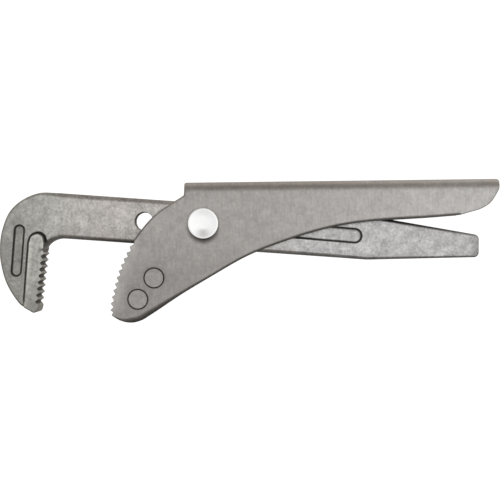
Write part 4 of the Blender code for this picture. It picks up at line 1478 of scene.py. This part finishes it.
def rim_marks():
    """Painted shade and a painted highlight on the bar's rim and wall. Each stretch is a share for each point
    of the outline, and its rows are the painted shade from the flat over the rim to the wall."""
    x, y = hook_line.T
    throat = ramp(along_teeth(hook_line), *THROAT_START) * ramp(x, *THROAT_REACH)
    throat *= (x > highest_tip[0] - THROAT_MARGIN) & (y < 0)
    tip = on_pad * ramp(y, *TIP_FALL) * (x < TIP_REACH)
    lower = ramp(y, *LOWER_EDGE_FALL) * ramp(x, *LOWER_EDGE_REACH) * (1 - throat)
    by_jaw = lower * ramp(x, *JAW_SHADE_REACH) * (x < 0)
    tail_top = ramp(x, *TAIL_TOP_REACH[0]) * ramp(x, *TAIL_TOP_REACH[1]) * (y > 0)
    rest = (1 - lower) * (1 - tail_top) * (1 - on_pad) * (1 - throat) * ramp(x, *TAIL_END_REACH)
    stretches = [(RIM_SHADE, rest), (LOWER_RIM_SHADE, lower * (1 + JAW_SHADE_MORE * by_jaw)),
                 (TAIL_TOP_SHADOW, tail_top), (THROAT_SHADE, throat), (TIP_SHADE, tip)]
    # Painted shade along the rim, darkest where the lower edge meets the jaw and a painted shadow under the
    # cheek.
    rim = sum(np.outer(rows, share) for rows, share in stretches)
    wall = strongest(WALL_SHADE * (1 - on_pad), DARK_WALL_SHADE * strongest(by_jaw, tail_top),
                     THROAT_SHADE[-1] * throat)
    residue = np.vstack([rim, np.tile(wall, (LOOP_ROWS - RIM_ROWS, 1))])
    return on_loop(points, residue), on_loop(points, np.outer(LOWER_RIM_HIGHLIGHT, lower))


rim_residue, rim_highlight = rim_marks()
bar_residue = strongest(face_marks, hollow_marks, tooth_marks, rim_residue) + sum(slot_floors)
# A painted highlight on the pad's crest, where its rounded edge catches the light.
pad_highlight = PAD_EDGE_HIGHLIGHT * between(pad_depth, *PAD_HIGHLIGHT_DEPTHS, MARK_EDGE_FADE) * ramp(bar_height, *PAD_EDGE_HEIGHTS)
make_piece("forged_hook_bar", "hook_bar", "forged_steel", placed(points, MIDDLE, BAR_ANGLE), faces,
           residue=bar_residue, worn=pad_highlight + rim_highlight)

# %% [markdown]
# The pin is turned from bar: a dished head, a plain shank, a groove near its tail for the split ring, and a
# small lip below the groove. The head sits down on the cheek.

# %% Pin
PIN_HEAD_RADIUS = 7.05
PIN_HEAD_EDGE = 0.3
PIN_HEAD_SEAT = 0.05
PIN_DISH_RADIUS = 6.2
PIN_DISH_DEPTH = 0.25
PIN_RADIUS = 3.9
GROOVE_RADIUS = 3.2
GROOVE_LOW, GROOVE_HIGH = 0.5, 1.9
PIN_LOW = pin_points[:, 2].min()
PIN_CHAMFER = 0.15
DISH_STEPS = 8


def pin_profile():
    """The pin from the bottom up: tail, lip, groove, shank, head, and a dish that falls as a parabola."""
    shares = np.linspace(1, 0, DISH_STEPS + 1)
    dish = np.column_stack([PIN_DISH_RADIUS * shares, PIN_TOP - PIN_DISH_DEPTH * (1 - shares ** 2)])
    seat = WIDTH + PIN_HEAD_SEAT
    body = [(0, PIN_LOW), (PIN_RADIUS, PIN_LOW), (PIN_RADIUS, GROOVE_LOW), (GROOVE_RADIUS, GROOVE_LOW),
            (GROOVE_RADIUS, GROOVE_HIGH), (PIN_RADIUS, GROOVE_HIGH), (PIN_RADIUS, seat),
            (PIN_HEAD_RADIUS, seat), (PIN_HEAD_RADIUS, PIN_TOP)]
    radii = [0] + [PIN_CHAMFER] * 7 + [PIN_HEAD_EDGE] * 2 + [0] * DISH_STEPS
    return rounded(np.vstack([body, dish]), radii)


points, faces = turned(pin_profile())
print("Height of the pin in mm:", round(float(np.ptp(points[:, 2])), 2))

# %% [markdown]
# A turned face throws a fan of light with two weak dark sides, and here they are painted into its colour.
# Each painted dark side is a ring between two radii, and the higher the power of the cosine from its side,
# the narrower it is.

# %% Painted reflection on the pin's head
LOW_DARK_REFLECTION = (-1, 0.3, (3.6, 5.6, 1.6), 5)
HIGH_DARK_REFLECTION = (1, 0.1, (4.4, 6.6, 1.4), 3)
HEAD_FACE_RISE = 1.0


def head_painted_reflection():
    """Strength times the ring's share times a power of the cosine of the turn from the painted side."""
    reach = np.hypot(points[:, 0], points[:, 1])
    upper = points[:, 1] / np.maximum(reach, 1)
    dark_sides = [strength * between(reach, *ring) * np.maximum(side * upper, 0) ** power
               for side, strength, ring, power in (LOW_DARK_REFLECTION, HIGH_DARK_REFLECTION)]
    # The painted reflection's two dark sides, on the head's face only.
    return sum(dark_sides) * (points[:, 2] > WIDTH + HEAD_FACE_RISE)


make_piece("headed_pin", "pivot_pin", "bright_steel", placed(points, 0), faces, residue=head_painted_reflection())

# %% [markdown]
# The split ring lies in the pin's groove, in the rear cheek's seat. It is a flat arc with square ends, and
# shows only from behind.

# %% Split ring
RING_SPLIT = 40.0
RING_STEPS = 64
RING_END_ROWS = 2
ring_flat = np.linalg.norm(ring_points[:, :2], axis=1)
ring_low, ring_high = ring_points[:, 2].min(), ring_points[:, 2].max()
ring_turns = np.linspace(math.radians(RING_SPLIT / 2), math.radians(360 - RING_SPLIT / 2), RING_STEPS)
ring_arc = np.stack([np.cos(ring_turns), np.sin(ring_turns)], axis=1)
ring_line = np.vstack([ring_arc * ring_flat.max(), ring_arc[::-1] * ring_flat.min()])
ring_rim = [round_rim(SMALL_EDGE, SMALL_EDGE, SMALL_EDGE)]
ring_lattice = ring_arc[RING_END_ROWS:-RING_END_ROWS] * (ring_flat.min() + ring_flat.max()) / 2
points, faces = plate_shell([ring_line], ring_rim, ring_rim, level((ring_high - ring_low) / 2), ring_lattice,
                            SMALL_EDGE)
make_piece("split_ring", "pin_snap_ring", "spring_steel", placed(points, (ring_low + ring_high) / 2), faces)
